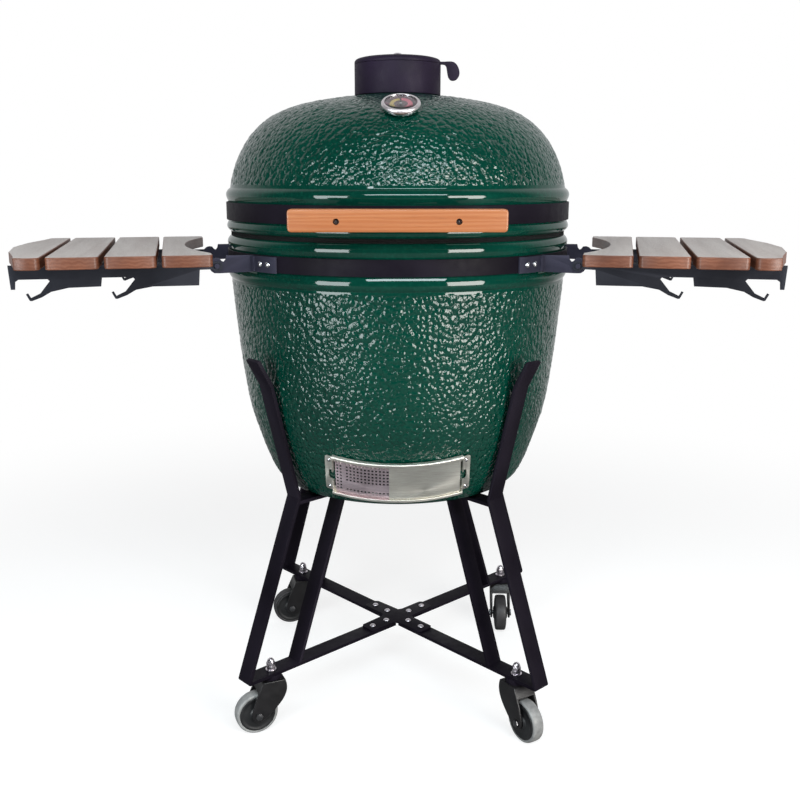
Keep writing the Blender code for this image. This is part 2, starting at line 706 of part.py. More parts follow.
def add_shelf(name, side, mats):
    """Four slats on two rails that hook over the brackets, all folding about one line."""
    turn = math.radians(-SHELF_SWEEP) if side > 0 else math.radians(180 + SHELF_SWEEP)
    out = Matrix.Rotation(turn, 3, "Z") @ Vector((SHELF_HINGE[0], 0, SHELF_HINGE[1]))
    empty = axis_empty(name + "_shelf_axis", out, turn)
    top = SHELF_TOP - SHELF_HINGE[1]
    for index in range(4):
        slat = prism(slat_outline(index), top - SLAT_T, top)
        place("%s_slat_%d" % (name, index + 1), slat, mats["grey_wood"], parent=empty)
    for end, where in ((-side, "front"), (side, "rear")):
        y = end * RAIL_AT
        rail = prism(rail_outline(), y - 0.0015, y + 0.0015, "XZ")
        rail = place("%s_%s_rail" % (name, where), rail, mats["coat"], parent=empty, smooth=False)
        edge = sorted((y, y + end * FLANGE_W))
        flange = box((0.0300, edge[0], RAIL_TOP - 0.0025), (0.2980, edge[1], RAIL_TOP))
        weld(rail, place("%s_%s_rail_flange" % (name, where), flange, None, parent=empty))
        hole = cylinder(SHELF_PIN_R + 0.0003, 0.02, 16, (0, y, 0), (0, 1, 0))
        cut(rail, place("%s_%s_rail_hole" % (name, where), hole, None, parent=empty))
        add_shelf_bracket(name, where, end, turn, mats)


def add_shelf_bracket(name, where, end, turn, mats):
    """A plate from the base band to the shelf's pin, with a tab bolted along the band."""
    x, z = SHELF_HINGE
    outline = [(0.2680, 0.8045), (x - 0.004, 0.8030)] + arc(x, z, 0.0125, -70, 110, 8)
    outline += [(0.3185, 0.8225), (0.3155, 0.8210), (0.3125, 0.8245), (0.3110, 0.8310), (0.2680, 0.8310)]
    y = end * BRACKET_AT
    plate = prism(outline, y - 0.0020, y + 0.0020, "XZ")
    label = "%s_%s_bracket" % (name, where)
    bracket = place(label, plate, mats["coat"], turn=turn, smooth=False)
    seat = BAND_OUT + GAP
    cut(bracket, place(label + "_seat", cylinder(seat, 0.2, SEG, (0, 0, z)), None))
    meet = math.degrees(math.asin(BRACKET_AT / (seat + 0.002)))
    start, stop = (meet - 0.2, meet + 11.4) if end > 0 else (-meet - 11.4, -meet + 0.2)
    tab = sector(plate_outline(0.8050, 0.8305, seat + 0.0001, seat + 0.0036), start + 90, stop + 90, 2.9)
    weld(bracket, place(label + "_tab", tab, None, turn=turn))
    pin = cylinder(SHELF_PIN_R, 0.0120, 16, (x, y + end * 0.0050, z), (0, 1, 0))
    weld(bracket, place(label + "_pin", pin, None, turn=turn))


def build():
    clear_scene()
    mats = make_materials()
    add_base_shell(mats)
    add_lid_shell(mats)
    add_gaskets(mats)
    add_band("base_band", BASE_BAND, mats)
    add_band("lid_band", LID_BAND, mats)
    add_interior(mats)
    add_handle(mats)
    add_cap(mats)
    add_thermometer(mats)
    add_hinge(mats)
    add_draft_door(mats)
    for name, angle, heading in CASTERS:
        add_leg(name, angle, mats)
        add_caster(name, angle, heading, mats)
    add_cross_plates(mats)
    add_shelf("left", -1, mats)
    add_shelf("right", 1, mats)


build()
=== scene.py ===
import math

import bmesh
import bpy
from mathutils import Matrix, Vector, noise


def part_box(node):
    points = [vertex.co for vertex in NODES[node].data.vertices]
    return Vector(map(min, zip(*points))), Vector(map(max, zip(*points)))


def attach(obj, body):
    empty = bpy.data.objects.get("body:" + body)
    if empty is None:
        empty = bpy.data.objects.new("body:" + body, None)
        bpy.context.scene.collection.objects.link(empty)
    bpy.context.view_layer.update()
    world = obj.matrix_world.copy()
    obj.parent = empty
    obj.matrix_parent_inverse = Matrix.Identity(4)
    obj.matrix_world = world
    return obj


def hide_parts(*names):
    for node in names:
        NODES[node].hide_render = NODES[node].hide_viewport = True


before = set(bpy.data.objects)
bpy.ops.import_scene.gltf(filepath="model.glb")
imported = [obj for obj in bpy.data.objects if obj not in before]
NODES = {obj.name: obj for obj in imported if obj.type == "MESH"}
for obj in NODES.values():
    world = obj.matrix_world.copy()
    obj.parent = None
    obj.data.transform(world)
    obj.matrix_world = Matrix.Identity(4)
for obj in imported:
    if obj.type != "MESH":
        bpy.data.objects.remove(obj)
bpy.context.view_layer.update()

# ---------------------------------------------------------------- sizes

ROUND = 128                     # facets round a large turned piece
SHELL_ROUND = 560               # columns of the dimpled ceramic
DROPS_PER_METRE = 135.0         # pitch of the glaze's raised drops

RIM_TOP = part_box("base_shell")[1].z
BASE_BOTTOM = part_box("base_shell")[0].z
LID_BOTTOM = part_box("lid_shell")[0].z
BELT_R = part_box("base_shell")[1].x          # ribs beside the bands
BAND_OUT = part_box("base_band")[1].x
BAND_IN = BAND_OUT - 0.0030
RIB_ROOT = BAND_IN - 0.0007     # the ceramic under a band
BASE_BAND = (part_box("base_band")[0].z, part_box("base_band")[1].z)
LID_BAND = (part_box("lid_band")[0].z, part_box("lid_band")[1].z)
RIM_IN = 0.2720
GASKET_IN = 0.2760
GASKET_OUT = 0.2930

HANDLE_BOLT_X = 0.0880
HANDLE_BOLT_Z = 0.8900

HINGE_Y = sum(corner.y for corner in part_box("hinge_pin")) / 2
HINGE_Z = sum(corner.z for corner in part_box("hinge_pin")) / 2
SPRING_TURNS = 9
SPRING_STEPS = 18               # points in one turn
SPRING_R = 0.0076

CAP_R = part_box("cap_body")[1].x
CAP_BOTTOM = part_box("cap_body")[0].z
CAP_PLATE = (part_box("cap_body")[1].z - 0.0055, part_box("cap_body")[1].z)
CAP_TOP = 1.1550
CAP_HOLE_R = 0.0155
CAP_HOLE_AT = 0.0400

THERMO_TILT = math.radians(29.5)
THERMO_FOOT = Vector((0.0050, -0.2180, 1.0532))
THERMO_R = 0.0300

DOOR_R = 0.2600                 # bend of the draft door, round an axis that leans with the body
DOOR_SLOPE = math.atan(0.408)
DOOR_CENTRE = Vector((0, DOOR_R * math.cos(DOOR_SLOPE) - 0.2432, DOOR_R * math.sin(DOOR_SLOPE) + 0.4680))
DOOR_LOW = -0.0405
DOOR_HIGH = 0.0388
DOOR_HALF_DEG = 23.9
DOOR_FLANGE_DEG = 27.1
DOOR_DEPTH = 0.0075
DOOR_SHEET = 0.0012
DOOR_SCREWS = (("low", -0.0285), ("high", 0.0270))
PANEL_MEET_DEG = -3.0

STAND_YAW = math.radians(-2.1)
STEM_R = 0.3030
TRAIL = 0.0290
WHEEL_R = 0.0375
FORK_TOP = 0.0985
FORK_HALF = 0.0205              # half the fork's width outside
FORK_ROOM = 0.0168              # half of it between the cheeks
BAR_TOP = 0.1120
FOOT_Z = 0.1060                 # underside of the bottom bars
TOE_R = 0.3540
CASTERS = (                     # name, leg angle, heading of the trail, both in degrees
    ("front_left", 225.0, 203.5),
    ("front_right", 315.0, 301.5),
    ("rear_left", 135.0, 195.0),
    ("rear_right", 45.0, 268.0),
)

SHELF_SWEEP = math.radians(13.0)
SHELF_HINGE = (0.3260, 0.8150)
BRACKET_AT = 0.1360
BRACKET_FOLD = (0.8058, 0.8297)
BRACKET_BOLT_Z = 0.8180
BRACKET_BOLTS_DEG = (4.8, 8.3)  # round the band from the bracket's fold
RAIL_AT = 0.1400
FLANGE_LOW = 0.8192             # underside of the rails' folded edge
SLAT_EDGES = ((0.3360, 0.4095), (0.4175, 0.4910), (0.4990, 0.5725), (0.5805, 0.6490))


# ---------------------------------------------------------------- meshes

def fillet(points, radius, steps=4, closed=True):
    """Round the corners of an outline. A point may carry its own radius as a third number."""
    count = len(points)
    result = []
    for i, point in enumerate(points):
        here = Vector(point[:2])
        r = point[2] if len(point) > 2 else radius
        if r <= 0 or (not closed and i in (0, count - 1)):
            result.append(tuple(here))
            continue
        back = Vector(points[i - 1][:2]) - here
        ahead = Vector(points[(i + 1) % count][:2]) - here
        reach = min(r, back.length * 0.48, ahead.length * 0.48)
        start, stop = here + back.normalized() * reach, here + ahead.normalized() * reach
        for k in range(steps + 1):
            t = k / steps
            result.append(tuple(start.lerp(here, t).lerp(here.lerp(stop, t), t)))
    return result


def through(points, step):
    """A smooth curve through points, sampled about every step."""
    result = []
    last = len(points) - 1
    for i in range(last):
        p = [Vector(points[max(0, min(last, i + k))]) for k in (-1, 0, 1, 2)]
        count = max(1, round((p[2] - p[1]).length / step))
        for k in range(count):
            t = k / count
            result.append(tuple(
                0.5 * (2 * p[1] + (p[2] - p[0]) * t + (2 * p[0] - 5 * p[1] + 4 * p[2] - p[3]) * t ** 2
                       + (3 * p[1] - p[0] - 3 * p[2] + p[3]) * t ** 3)))
    return result + [tuple(points[-1])]


def turned(profile, segments=ROUND):
    """Turn a closed (r, z) outline round Z. Points at r = 0 become poles."""
    bm = bmesh.new()
    rings = []
    for point in profile:
        r, z = point[:2]
        if r < 1e-6:
            rings.append([bm.verts.new((0, 0, z))] * segments)
            continue
        angles = [2 * math.pi * i / segments for i in range(segments)]
        rings.append([bm.verts.new((r * math.cos(a), r * math.sin(a), z)) for a in angles])
    for k, ring in enumerate(rings):
        following = rings[(k + 1) % len(rings)]
        for i in range(segments):
            j = (i + 1) % segments
            corners = list(dict.fromkeys((ring[i], ring[j], following[j], following[i])))
            if len(corners) > 2:
                bm.faces.new(corners)
    return bm


def lofted(rows):
    """A solid through rows of points. Each row is a closed outline, and the first and last are faces."""
    bm = bmesh.new()
    rows = [[bm.verts.new(point) for point in row] for row in rows]
    for row, following in zip(rows, rows[1:]):
        for i in range(len(row)):
            j = (i + 1) % len(row)
            bm.faces.new((row[i], row[j], following[j], following[i]))
    bm.faces.new(rows[0])
    bm.faces.new(rows[-1])
    return bm


def from_front(angle, r, z):
    """A point round Z, its angle counted from the front, -Y."""
    return Vector((r * math.sin(angle), -r * math.cos(angle), z))


def sector(outline, start_deg, end_deg, step_deg=1.0):
    """Sweep a closed (r, z) outline round Z between two angles from the front."""
    steps = max(1, round(abs(end_deg - start_deg) / step_deg))
    angles = [math.radians(start_deg + (end_deg - start_deg) * i / steps) for i in range(steps + 1)]
    return lofted([[from_front(a, r, z) for r, z in outline] for a in angles])


def prism(outline, low, high, plane="XY"):
    """Extrude a closed outline. The plane, XY or XZ, names the outline's two axes."""
    def point(u, v, w):
        return (u, v, w) if plane == "XY" else (u, w, v)

    return lofted([[point(u, v, w) for u, v in outline] for w in (low, high)])


def rectangle(low_u, low_v, high_u, high_v):
    return [(low_u, low_v), (high_u, low_v), (high_u, high_v), (low_u, high_v)]


def around(angle, r, z=0.0):
    """A point round Z, its angle counted from +X."""
    return Vector((r * math.cos(angle), r * math.sin(angle), z))


def circle(cu, cv, radius, count, start=0.0):
    angles = [start + 2 * math.pi * i / count for i in range(count)]
    return [(cu + radius * math.cos(a), cv + radius * math.sin(a)) for a in angles]


def tube(path, radius, sides=8):
    """A round wire along a list of points, closed at its ends."""
    rows = []
    for i, here in enumerate(path):
        ahead = path[min(i + 1, len(path) - 1)] - path[max(i - 1, 0)]
        spin = ahead.to_track_quat("Z", "X").to_matrix()
        rows.append([here + spin @ around(2 * math.pi * k / sides, 1.0) * radius for k in range(sides)])
    return lofted(rows)


def joined(*parts):
    """Several bmeshes as one, each still its own body."""
    whole = bmesh.new()
    for part in parts:
        scratch = bpy.data.meshes.new("scratch")
        bmesh.ops.recalc_face_normals(part, faces=part.faces[:])
        part.to_mesh(scratch)
        part.free()
        whole.from_mesh(scratch)
        bpy.data.meshes.remove(scratch)
    return whole


def bevelled(bm, width, segments=2, angle_deg=28.0):
    """Round the sharp edges of a bmesh."""
    bmesh.ops.recalc_face_normals(bm, faces=bm.faces[:])
    sharp = [e for e in bm.edges if len(e.link_faces) == 2 and e.calc_face_angle(0) > math.radians(angle_deg)]
    bmesh.ops.bevel(bm, geom=sharp, offset=width, segments=segments, profile=0.6, affect="EDGES",
                    clamp_overlap=True)
    return bm


def copied(node):
    """A CAD node's shape as a clean bmesh, with its flat faces whole again."""
    bm = bmesh.new()
    bm.from_mesh(NODES[node].data)
    bmesh.ops.remove_doubles(bm, verts=bm.verts[:], dist=1e-6)
    bmesh.ops.dissolve_limit(bm, angle_limit=math.radians(0.6), verts=bm.verts[:], edges=bm.edges[:])
    return bm


def placed(bm, location=(0, 0, 0), axis=(0, 0, 1), spin=0.0):
    """Move a bmesh made about Z onto another axis."""
    turn = Vector(axis).to_track_quat("Z", "Y").to_matrix().to_4x4()
    bm.transform(Matrix.Translation(location) @ turn @ Matrix.Rotation(spin, 4, "Z"))
    return bm


def piece(name, bm, material, body, stands_for=(), sharp_deg=32.0):
    """Close a bmesh into a shown piece that rides on a body."""
    bmesh.ops.recalc_face_normals(bm, faces=bm.faces[:])
    mesh = bpy.data.meshes.new(name)
    bm.to_mesh(mesh)
    bm.free()
    mesh.shade_smooth()
    mesh.set_sharp_from_angle(angle=math.radians(sharp_deg))
    obj = bpy.data.objects.new(name, mesh)
    bpy.context.scene.collection.objects.link(obj)
    for one in material if isinstance(material, (list, tuple)) else [material]:
        mesh.materials.append(one)
    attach(obj, body)
    if stands_for:
        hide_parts(*stands_for)
    return obj


def carved(bm, *cutters):
    """Cut closed bmeshes out of one, and return what is left."""
    def hold(shape):
        bmesh.ops.recalc_face_normals(shape, faces=shape.faces[:])
        mesh = bpy.data.meshes.new("scratch")
        shape.to_mesh(mesh)
        shape.free()
        obj = bpy.data.objects.new("scratch", mesh)
        bpy.context.scene.collection.objects.link(obj)
        return obj

    blank = hold(bm)
    knives = [hold(cutter) for cutter in cutters]
    for knife in knives:
        step = blank.modifiers.new("cut", "BOOLEAN")
        step.operation = "DIFFERENCE"
        step.solver = "EXACT"
        step.object = knife
    bpy.context.view_layer.update()
    result = bmesh.new()
    result.from_object(blank, bpy.context.evaluated_depsgraph_get())
    for obj in [blank] + knives:
        mesh = obj.data
        bpy.data.objects.remove(obj, do_unlink=True)
        bpy.data.meshes.remove(mesh)
    bmesh.ops.dissolve_limit(result, angle_limit=math.radians(0.2), verts=result.verts[:],
                             edges=result.edges[:])
    return result


def dressed(node, ending, width, material, body, segments=2, angle_deg=28.0, sharp_deg=32.0):
    """Show a CAD node as it is, with its sharp edges rounded."""
    shape = bevelled(copied(node), width, segments, angle_deg)
    piece(node + ending, shape, material, body, [node], sharp_deg)


# ---------------------------------------------------------------- materials

class Nodes:
    """A node tree, and the few nodes that the finishes, the floor and the world share."""

    def __init__(self, tree):
        self.tree = tree

    def node(self, kind, **settings):
        node = self.tree.nodes.new("ShaderNode" + kind)
        for key, value in settings.items():
            setattr(node, key, value)
        return node

    def link(self, start, stop):
        self.tree.links.new(start, stop)

    def feed(self, socket, value):
        """Give an input another node's output, or a plain value."""
        if isinstance(value, bpy.types.NodeSocket):
            self.link(value, socket)
        else:
            socket.default_value = value

    def set_all(self, node, values, vector=None):
        for key, value in values.items():
            node.inputs[key].default_value = value
        if vector:
            self.link(vector, node.inputs["Vector"])

    def place(self, scale=(1, 1, 1), turn=0.0):
        """Position on the object, stretched by scale after a turn about Z."""
        first = self.node("Mapping")
        self.set_all(first, {"Rotation": (0, 0, turn)}, self.node("TexCoord").outputs["Object"])
        second = self.node("Mapping")
        self.set_all(second, {"Scale": scale}, first.outputs["Vector"])
        return second.outputs["Vector"]

    def noise(self, scale, detail=2.0, rough=0.5, vector=None):
        node = self.node("TexNoise")
        self.set_all(node, {"Scale": scale, "Detail": detail, "Roughness": rough}, vector or self.place())
        return node.outputs["Fac"]

    def cells(self, scale, feature="F1", **smoothness):
        node = self.node("TexVoronoi", feature=feature)
        self.set_all(node, {"Scale": scale, **smoothness}, self.place())
        return node.outputs["Distance"]

    def parts(self, vector):
        """The X, Y and Z outputs of a vector."""
        node = self.node("SeparateXYZ")
        self.link(vector, node.inputs[0])
        return node.outputs

    def calc(self, operation, *values):
        node = self.node("Math", operation=operation)
        for socket, value in zip(node.inputs, values):
            self.feed(socket, value)
        return node.outputs[0]

    def ramp(self, value, *stops):
        """Colours or plain numbers along a value."""
        node = self.node("ValToRGB")
        for element, (position, color) in zip(node.color_ramp.elements, stops):
            element.position = position
            element.color = (color, color, color, 1) if isinstance(color, (int, float)) else (*color, 1)
        self.link(value, node.inputs["Fac"])
        return node.outputs["Color"]

    def mix(self, factor, a, b, blend="MIX"):
        node = self.node("Mix", data_type="RGBA", blend_type=blend)
        self.feed(node.inputs[0], factor)
        for socket, color in ((node.inputs[6], a), (node.inputs[7], b)):
            self.feed(socket, (*color, 1) if isinstance(color, tuple) else color)
        return node.outputs[2]

    def mottled(self, scale, detail, low, high):
        """Two colours in soft patches."""
        return self.mix(self.ramp(self.noise(scale, detail), (0.3, 0), (0.7, 1)), low, high)


class Shade(Nodes):
    """A Principled material. Inputs are given by the names of its sockets."""

    def __init__(self, name, color, roughness, metallic=0.0, inputs=None):
        self.material = bpy.data.materials.new(name)
        self.material.use_nodes = True
        super().__init__(self.material.node_tree)
        self.shader = self.tree.nodes["Principled BSDF"]
        self.set_all(self.shader, {"Base Color": (*color, 1.0), "Roughness": roughness, "Metallic": metallic})
        self.set_all(self.shader, inputs or {})
        self.material.diffuse_color = (*color, 1.0)

    def color(self, socket):
        self.link(socket, self.shader.inputs["Base Color"])

    def rough(self, value, low, high):
        self.link(self.ramp(value, (0.25, low), (0.75, high)), self.shader.inputs["Roughness"])

    def bump(self, *layers):
        """Stack bumps, each (height, distance in metres, strength)."""
        normal = None
        for height, distance, strength in layers:
            node = self.node("Bump")
            self.set_all(node, {"Strength": strength, "Distance": distance})
            self.link(height, node.inputs["Height"])
            if normal:
                self.link(normal, node.inputs["Normal"])
            normal = node.outputs["Normal"]
        self.link(normal, self.shader.inputs["Normal"])
        self.link(normal, self.shader.inputs["Coat Normal"])


def scaled(color, share, lift=0.0):
    """A colour made darker or lighter."""
    return tuple(min(1.0, c * share + lift) for c in color)


def glaze(name, dimpled):
    """Deep green glaze, lighter on raised spots and darker between them."""
    s = Shade(name, (0.001, 0.052, 0.033), 0.30, inputs={
        "Coat Weight": 1.0, "Coat Roughness": 0.04, "Coat IOR": 1.52, "Specular IOR Level": 0.0})
    spots = s.noise(190.0, 1.5)
    patches = s.ramp(s.noise(5.0, 3.0), (0.35, 0), (0.65, 1))
    body = s.mix(patches, (0.0004, 0.0290, 0.0190), (0.0010, 0.0390, 0.0255))
    s.color(s.mix(s.ramp(spots, (0.50, 0), (0.78, 0.55)), body, (0.003, 0.060, 0.038)))
    fine = s.noise(420.0, 2.0)
    if dimpled:
        drop = s.cells(DROPS_PER_METRE, "SMOOTH_F1", Smoothness=0.35)
        dome = s.calc("MULTIPLY_ADD", s.calc("MULTIPLY", drop, drop), -4.0, 1.0)
        s.bump((dome, 0.00056, 1.0), (spots, 0.0013, 1.0), (fine, 0.0002, 0.3))
    else:
        s.bump((s.noise(30.0, 2.0), 0.0012, 0.35), (fine, 0.0001, 0.12))
    return s.material


def powder_coat(name, color, roughness):
    """Black or grey powder paint, a little worn on its edges."""
    s = Shade(name, color, roughness, inputs={"Specular IOR Level": 0.07})
    base = s.mottled(9.0, 4.0, scaled(color, 0.72), scaled(color, 1.45, 0.002))
    worn = s.ramp(s.node("NewGeometry").outputs["Pointiness"], (0.53, 0), (0.60, 0.35))
    s.color(s.mix(worn, base, scaled(color, 2.6, 0.01)))
    s.rough(s.noise(70.0, 4.0), roughness - 0.07, roughness + 0.09)
    s.bump((s.noise(1500.0, 2.0), 0.00016, 0.45), (s.noise(260.0, 3.0), 0.00020, 0.30))
    return s.material


def cast_iron(name, color, roughness):
    s = Shade(name, color, roughness, inputs={"Specular IOR Level": 0.16})
    s.color(s.mottled(14.0, 5.0, scaled(color, 0.7), scaled(color, 1.5)))
    s.rough(s.noise(90.0, 4.0), roughness - 0.06, roughness + 0.10)
    s.bump((s.noise(620.0, 4.0), 0.0004, 0.50), (s.cells(900.0), 0.0002, 0.25))
    return s.material


def brushed_steel(name, color):
    """Stainless sheet, brushed along its length."""
    roughness = 0.44
    s = Shade(name, color, roughness, 1.0, {"Anisotropic": 0.45})
    lines = s.noise(1.0, 4.0, 0.7, s.place((40, 40, 1400)))
    blotch = s.noise(16.0, 3.0)
    s.color(s.mix(s.ramp(lines, (0.3, 0), (0.7, 1)), scaled(color, 0.80), scaled(color, 1.18)))
    s.link(s.ramp(s.mix(0.5, lines, blotch), (0.3, roughness - 0.09), (0.7, roughness + 0.10)),
           s.shader.inputs["Roughness"])
    s.bump((lines, 0.00006, 0.5))
    return s.material


def zinc(name, color=(0.90, 0.84, 0.89), roughness=0.30):
    s = Shade(name, color, roughness, 1.0)
    s.color(s.mottled(220.0, 3.0, scaled(color, 0.82), color))
    s.rough(s.noise(300.0, 3.0), roughness - 0.06, roughness + 0.12)
    s.bump((s.noise(900.0, 2.0), 0.00008, 0.35))
    return s.material


def wood(name, tones, grain_axis, period, turn=0.0, roughness=0.45, coat=0.0, painted_sheen=None):
    """Sawn wood. The grain runs along one axis, with rings, pores and long streaks.
    Painted sheen covers the faces that look up when the piece is at rest, and stays on them: pale grey tones
    that stand in for the white surroundings reflected at a grazing angle."""
    s = Shade(name, tones[1], roughness, inputs={"Coat Weight": coat, "Coat Roughness": 0.25})
    along = s.place({"X": (0.06, 1, 1), "Y": (1, 0.06, 1)}[grain_axis], turn)
    warp = s.noise(22.0, 3.0, 0.5, along)
    wave = s.node("TexWave", wave_type="BANDS", bands_direction="Z")
    s.set_all(wave, {"Scale": 0.32 / period, "Distortion": 5.5, "Detail": 3.0, "Detail Scale": 1.6}, along)
    rings = wave.outputs["Fac"]
    pores = s.noise(1.0, 3.0, 0.6, s.place({"X": (25, 900, 900), "Y": (900, 25, 900)}[grain_axis], turn))
    base = s.mix(s.ramp(rings, (0.2, 0), (0.9, 1)), tones[1], tones[2])
    base = s.mix(s.ramp(warp, (0.35, 0), (0.70, 0.8)), base, tones[0])
    base = s.mix(s.ramp(pores, (0.60, 0), (0.74, 0.55)), base, scaled(tones[0], 0.45))
    # Painted sheen: pale grey on the up-facing faces in place of a grazing reflection, broken up by patches
    # and speckle.
    if painted_sheen:
        up = s.parts(s.node("TexCoord").outputs["Normal"])["Z"]
        patches = s.ramp(s.noise(30.0, 4.0, 0.6, along), (0.25, 0.55), (0.7, 1.0))
        sheen_mask = s.mix(1.0, s.ramp(up, (0.80, 0), (0.97, 1)), patches, "MULTIPLY")
        speckle = s.ramp(s.noise(330.0, 3.0, 0.6), (0.30, 0), (0.70, 1))
        base = s.mix(sheen_mask, base, s.mix(speckle, *painted_sheen))
    s.color(base)
    s.rough(pores, roughness - 0.08, roughness + 0.14)
    s.bump((rings, 0.00025, 0.35), (pores, 0.00020, 0.55))
    return s.material


def felt(name):
    s = Shade(name, (0.005, 0.005, 0.005), 0.95, inputs={
        "Specular IOR Level": 0.1, "Sheen Weight": 0.05, "Sheen Roughness": 0.5})
    s.color(s.mottled(500.0, 4.0, (0.003, 0.003, 0.003), (0.010, 0.010, 0.010)))
    s.bump((s.noise(1100.0, 5.0, 0.7), 0.0008, 0.9))
    return s.material


def fireclay(name):
    s = Shade(name, (0.58, 0.49, 0.38), 0.88)
    base = s.mottled(12.0, 5.0, (0.50, 0.41, 0.30), (0.66, 0.57, 0.45))
    specks = s.ramp(s.cells(420.0), (0.04, 1), (0.16, 0))
    s.color(s.mix(specks, base, (0.30, 0.22, 0.15)))
    s.bump((s.noise(300.0, 5.0), 0.0007, 0.6), (s.cells(420.0), 0.0004, 0.3))
    return s.material


def tread(name):
    s = Shade(name, (0.27, 0.27, 0.265), 0.42)
    dirt = s.ramp(s.noise(45.0, 5.0, 0.65), (0.40, 0), (0.72, 0.8))
    s.color(s.mix(dirt, (0.31, 0.31, 0.305), (0.12, 0.12, 0.125)))
    s.rough(s.noise(60.0, 4.0), 0.30, 0.58)
    s.bump((s.noise(500.0, 4.0), 0.0003, 0.4))
    return s.material


def moulded(name, color, roughness):
    s = Shade(name, color, roughness)
    s.color(s.mottled(35.0, 4.0, scaled(color, 0.7), scaled(color, 1.4)))
    s.rough(s.noise(80.0, 3.0), roughness - 0.08, roughness + 0.1)
    s.bump((s.noise(900.0, 3.0), 0.0002, 0.4))
    return s.material


def printed(name, color):
    """Enamel print on a dial, a little uneven."""
    s = Shade(name, color, 0.38)
    s.color(s.mottled(600.0, 3.0, scaled(color, 0.8), color))
    s.bump((s.noise(1500.0, 2.0), 0.00005, 0.3))
    return s.material


def clear_glass(name):
    s = Shade(name, (0.97, 0.98, 0.98), 0.02, inputs={"Transmission Weight": 1.0, "IOR": 1.45})
    s.rough(s.noise(120.0, 3.0), 0.0, 0.06)
    return s.material


def make_materials():
    honey_tones = ((0.306, 0.085, 0.022), (0.383, 0.126, 0.038), (0.45, 0.174, 0.065))
    shelf_tones = ((0.080, 0.024, 0.012), (0.160, 0.052, 0.025), (0.210, 0.078, 0.042))
    # Pale greys of the painted sheen: they stand in for the white surroundings reflected off the slat tops at
    # a grazing angle.
    painted_sheen_tones = ((0.600, 0.525, 0.480), (0.780, 0.700, 0.660))
    mats = {
        "glaze": (glaze("glaze_dimpled", True), glaze("glaze_smooth", False)),
        "coat": powder_coat("black_powder_coat", (0.0060, 0.0042, 0.0082), 0.46),
        "bracket_coat": powder_coat("grey_bracket_coat", (0.026, 0.025, 0.039), 0.44),
        "rail_coat": powder_coat("rail_coat", (0.0200, 0.0210, 0.0275), 0.46),
        "cap": cast_iron("cap_enamel", (0.0125, 0.0075, 0.0185), 0.52),
        "iron": cast_iron("grate_iron", (0.030, 0.028, 0.028), 0.60),
        "door_steel": brushed_steel("door_steel", (0.93, 0.86, 0.78)),
        "screen_steel": brushed_steel("screen_steel", (0.78, 0.64, 0.69)),
        "wire_steel": zinc("spring_steel", (0.55, 0.53, 0.50), 0.30),
        "zinc": zinc("zinc_plate"),
        "dark_zinc": zinc("dark_zinc", (0.20, 0.20, 0.21), 0.32),
        "chrome": zinc("bright_chrome", (0.84, 0.83, 0.86), 0.09),
        "honey": wood("honey_wood", honey_tones, "X", 0.006, coat=0.35),
        "felt": felt("black_felt"),
        "fireclay": fireclay("fireclay"),
        "tread": tread("grey_tread"),
        "tread_dark": moulded("dark_tread", (0.030, 0.028, 0.030), 0.50),
        "fork_black": moulded("fork_black", (0.010, 0.009, 0.010), 0.36),
        "bezel": zinc("satin_bezel", (0.95, 0.88, 0.90), 0.38),
        "hub": moulded("black_hub", (0.012, 0.012, 0.013), 0.42),
        "dial": printed("dial_plum", (0.150, 0.062, 0.085)),
        "dial_yellow": printed("dial_yellow", (0.85, 0.60, 0.16)),
        "dial_red": printed("dial_red", (0.90, 0.17, 0.25)),
        "dial_white": printed("dial_white", (0.36, 0.28, 0.32)),
        "lens": clear_glass("clear_lens"),
    }
    for side, sign in (("left", -1), ("right", 1)):
        mats[side + "_slats"] = wood(side + "_slat_wood", shelf_tones, "Y", 0.0055, sign * SHELF_SWEEP, 0.40,
                                     painted_sheen=painted_sheen_tones)
    return mats


# ---------------------------------------------------------------- ceramic body

def dimple_height(point):
    """Relief of the hammered glaze at a point, in metres."""
    spot = Vector(point)
    return 0.00110 * noise.noise(spot / 0.0060) + 0.00030 * noise.noise(spot / 0.0035 + Vector((7, 3, 5)))


def shell(outer, inner, hole=None):
    """A turned shell. Outer points are (r, z, share of the dimples), from the first to the last edge,
    and inner points lead back. A hole is (half angle from -Y in degrees, lowest z, highest z)."""
    bm = bmesh.new()
    weights = [w for _, _, w in outer] + [0.0] * len(inner)
    line = [Vector((r, 0, z)) for r, z, _ in outer] + [Vector((r, 0, z)) for r, z in inner]
    count = len(line)
    columns = SHELL_ROUND
    rings = []
    for k, point in enumerate(line):
        if point.x < 1e-6:
            rings.append([bm.verts.new(point)] * columns)
            continue
        along = line[(k + 1) % count] - line[k - 1]
        out = Vector((along.z, 0, -along.x)).normalized()
        ring = []
        for i in range(columns):
            a = 2 * math.pi * (i + 0.5) / columns - math.pi / 2
            c, s = math.cos(a), math.sin(a)
            spot = Vector((point.x * c, point.x * s, point.z))
            if weights[k]:
                spot += Vector((out.x * c, out.x * s, out.z)) * dimple_height(spot) * weights[k]
            ring.append(bm.verts.new(spot))
        rings.append(ring)
    gone = set()
    spans = []
    if hole:
        half_columns = round(hole[0] / 360 * columns)
        gone = set(range(columns - half_columns - 1, columns)) | set(range(half_columns))
        outside = [k for k in range(len(outer)) if hole[1] <= line[k].z <= hole[2]]
        inside = [k for k in range(len(outer), count) if hole[1] <= line[k].z <= hole[2]]
        spans = [(outside[0], outside[-1]), (inside[0], inside[-1])]
    for k in range(count):
        following = rings[(k + 1) % count]
        dimpled = weights[k] + weights[(k + 1) % count] > 0.9
        open_row = any(first <= k < last for first, last in spans)
        for i in range(columns):
            if open_row and i in gone:
                continue
            j = (i + 1) % columns
            corners = list(dict.fromkeys((rings[k][i], rings[k][j], following[j], following[i])))
            if len(corners) > 2:
                bm.faces.new(corners).material_index = 0 if dimpled else 1
    if hole:
        wall_port(bm, rings, spans, columns, half_columns)
    return bm


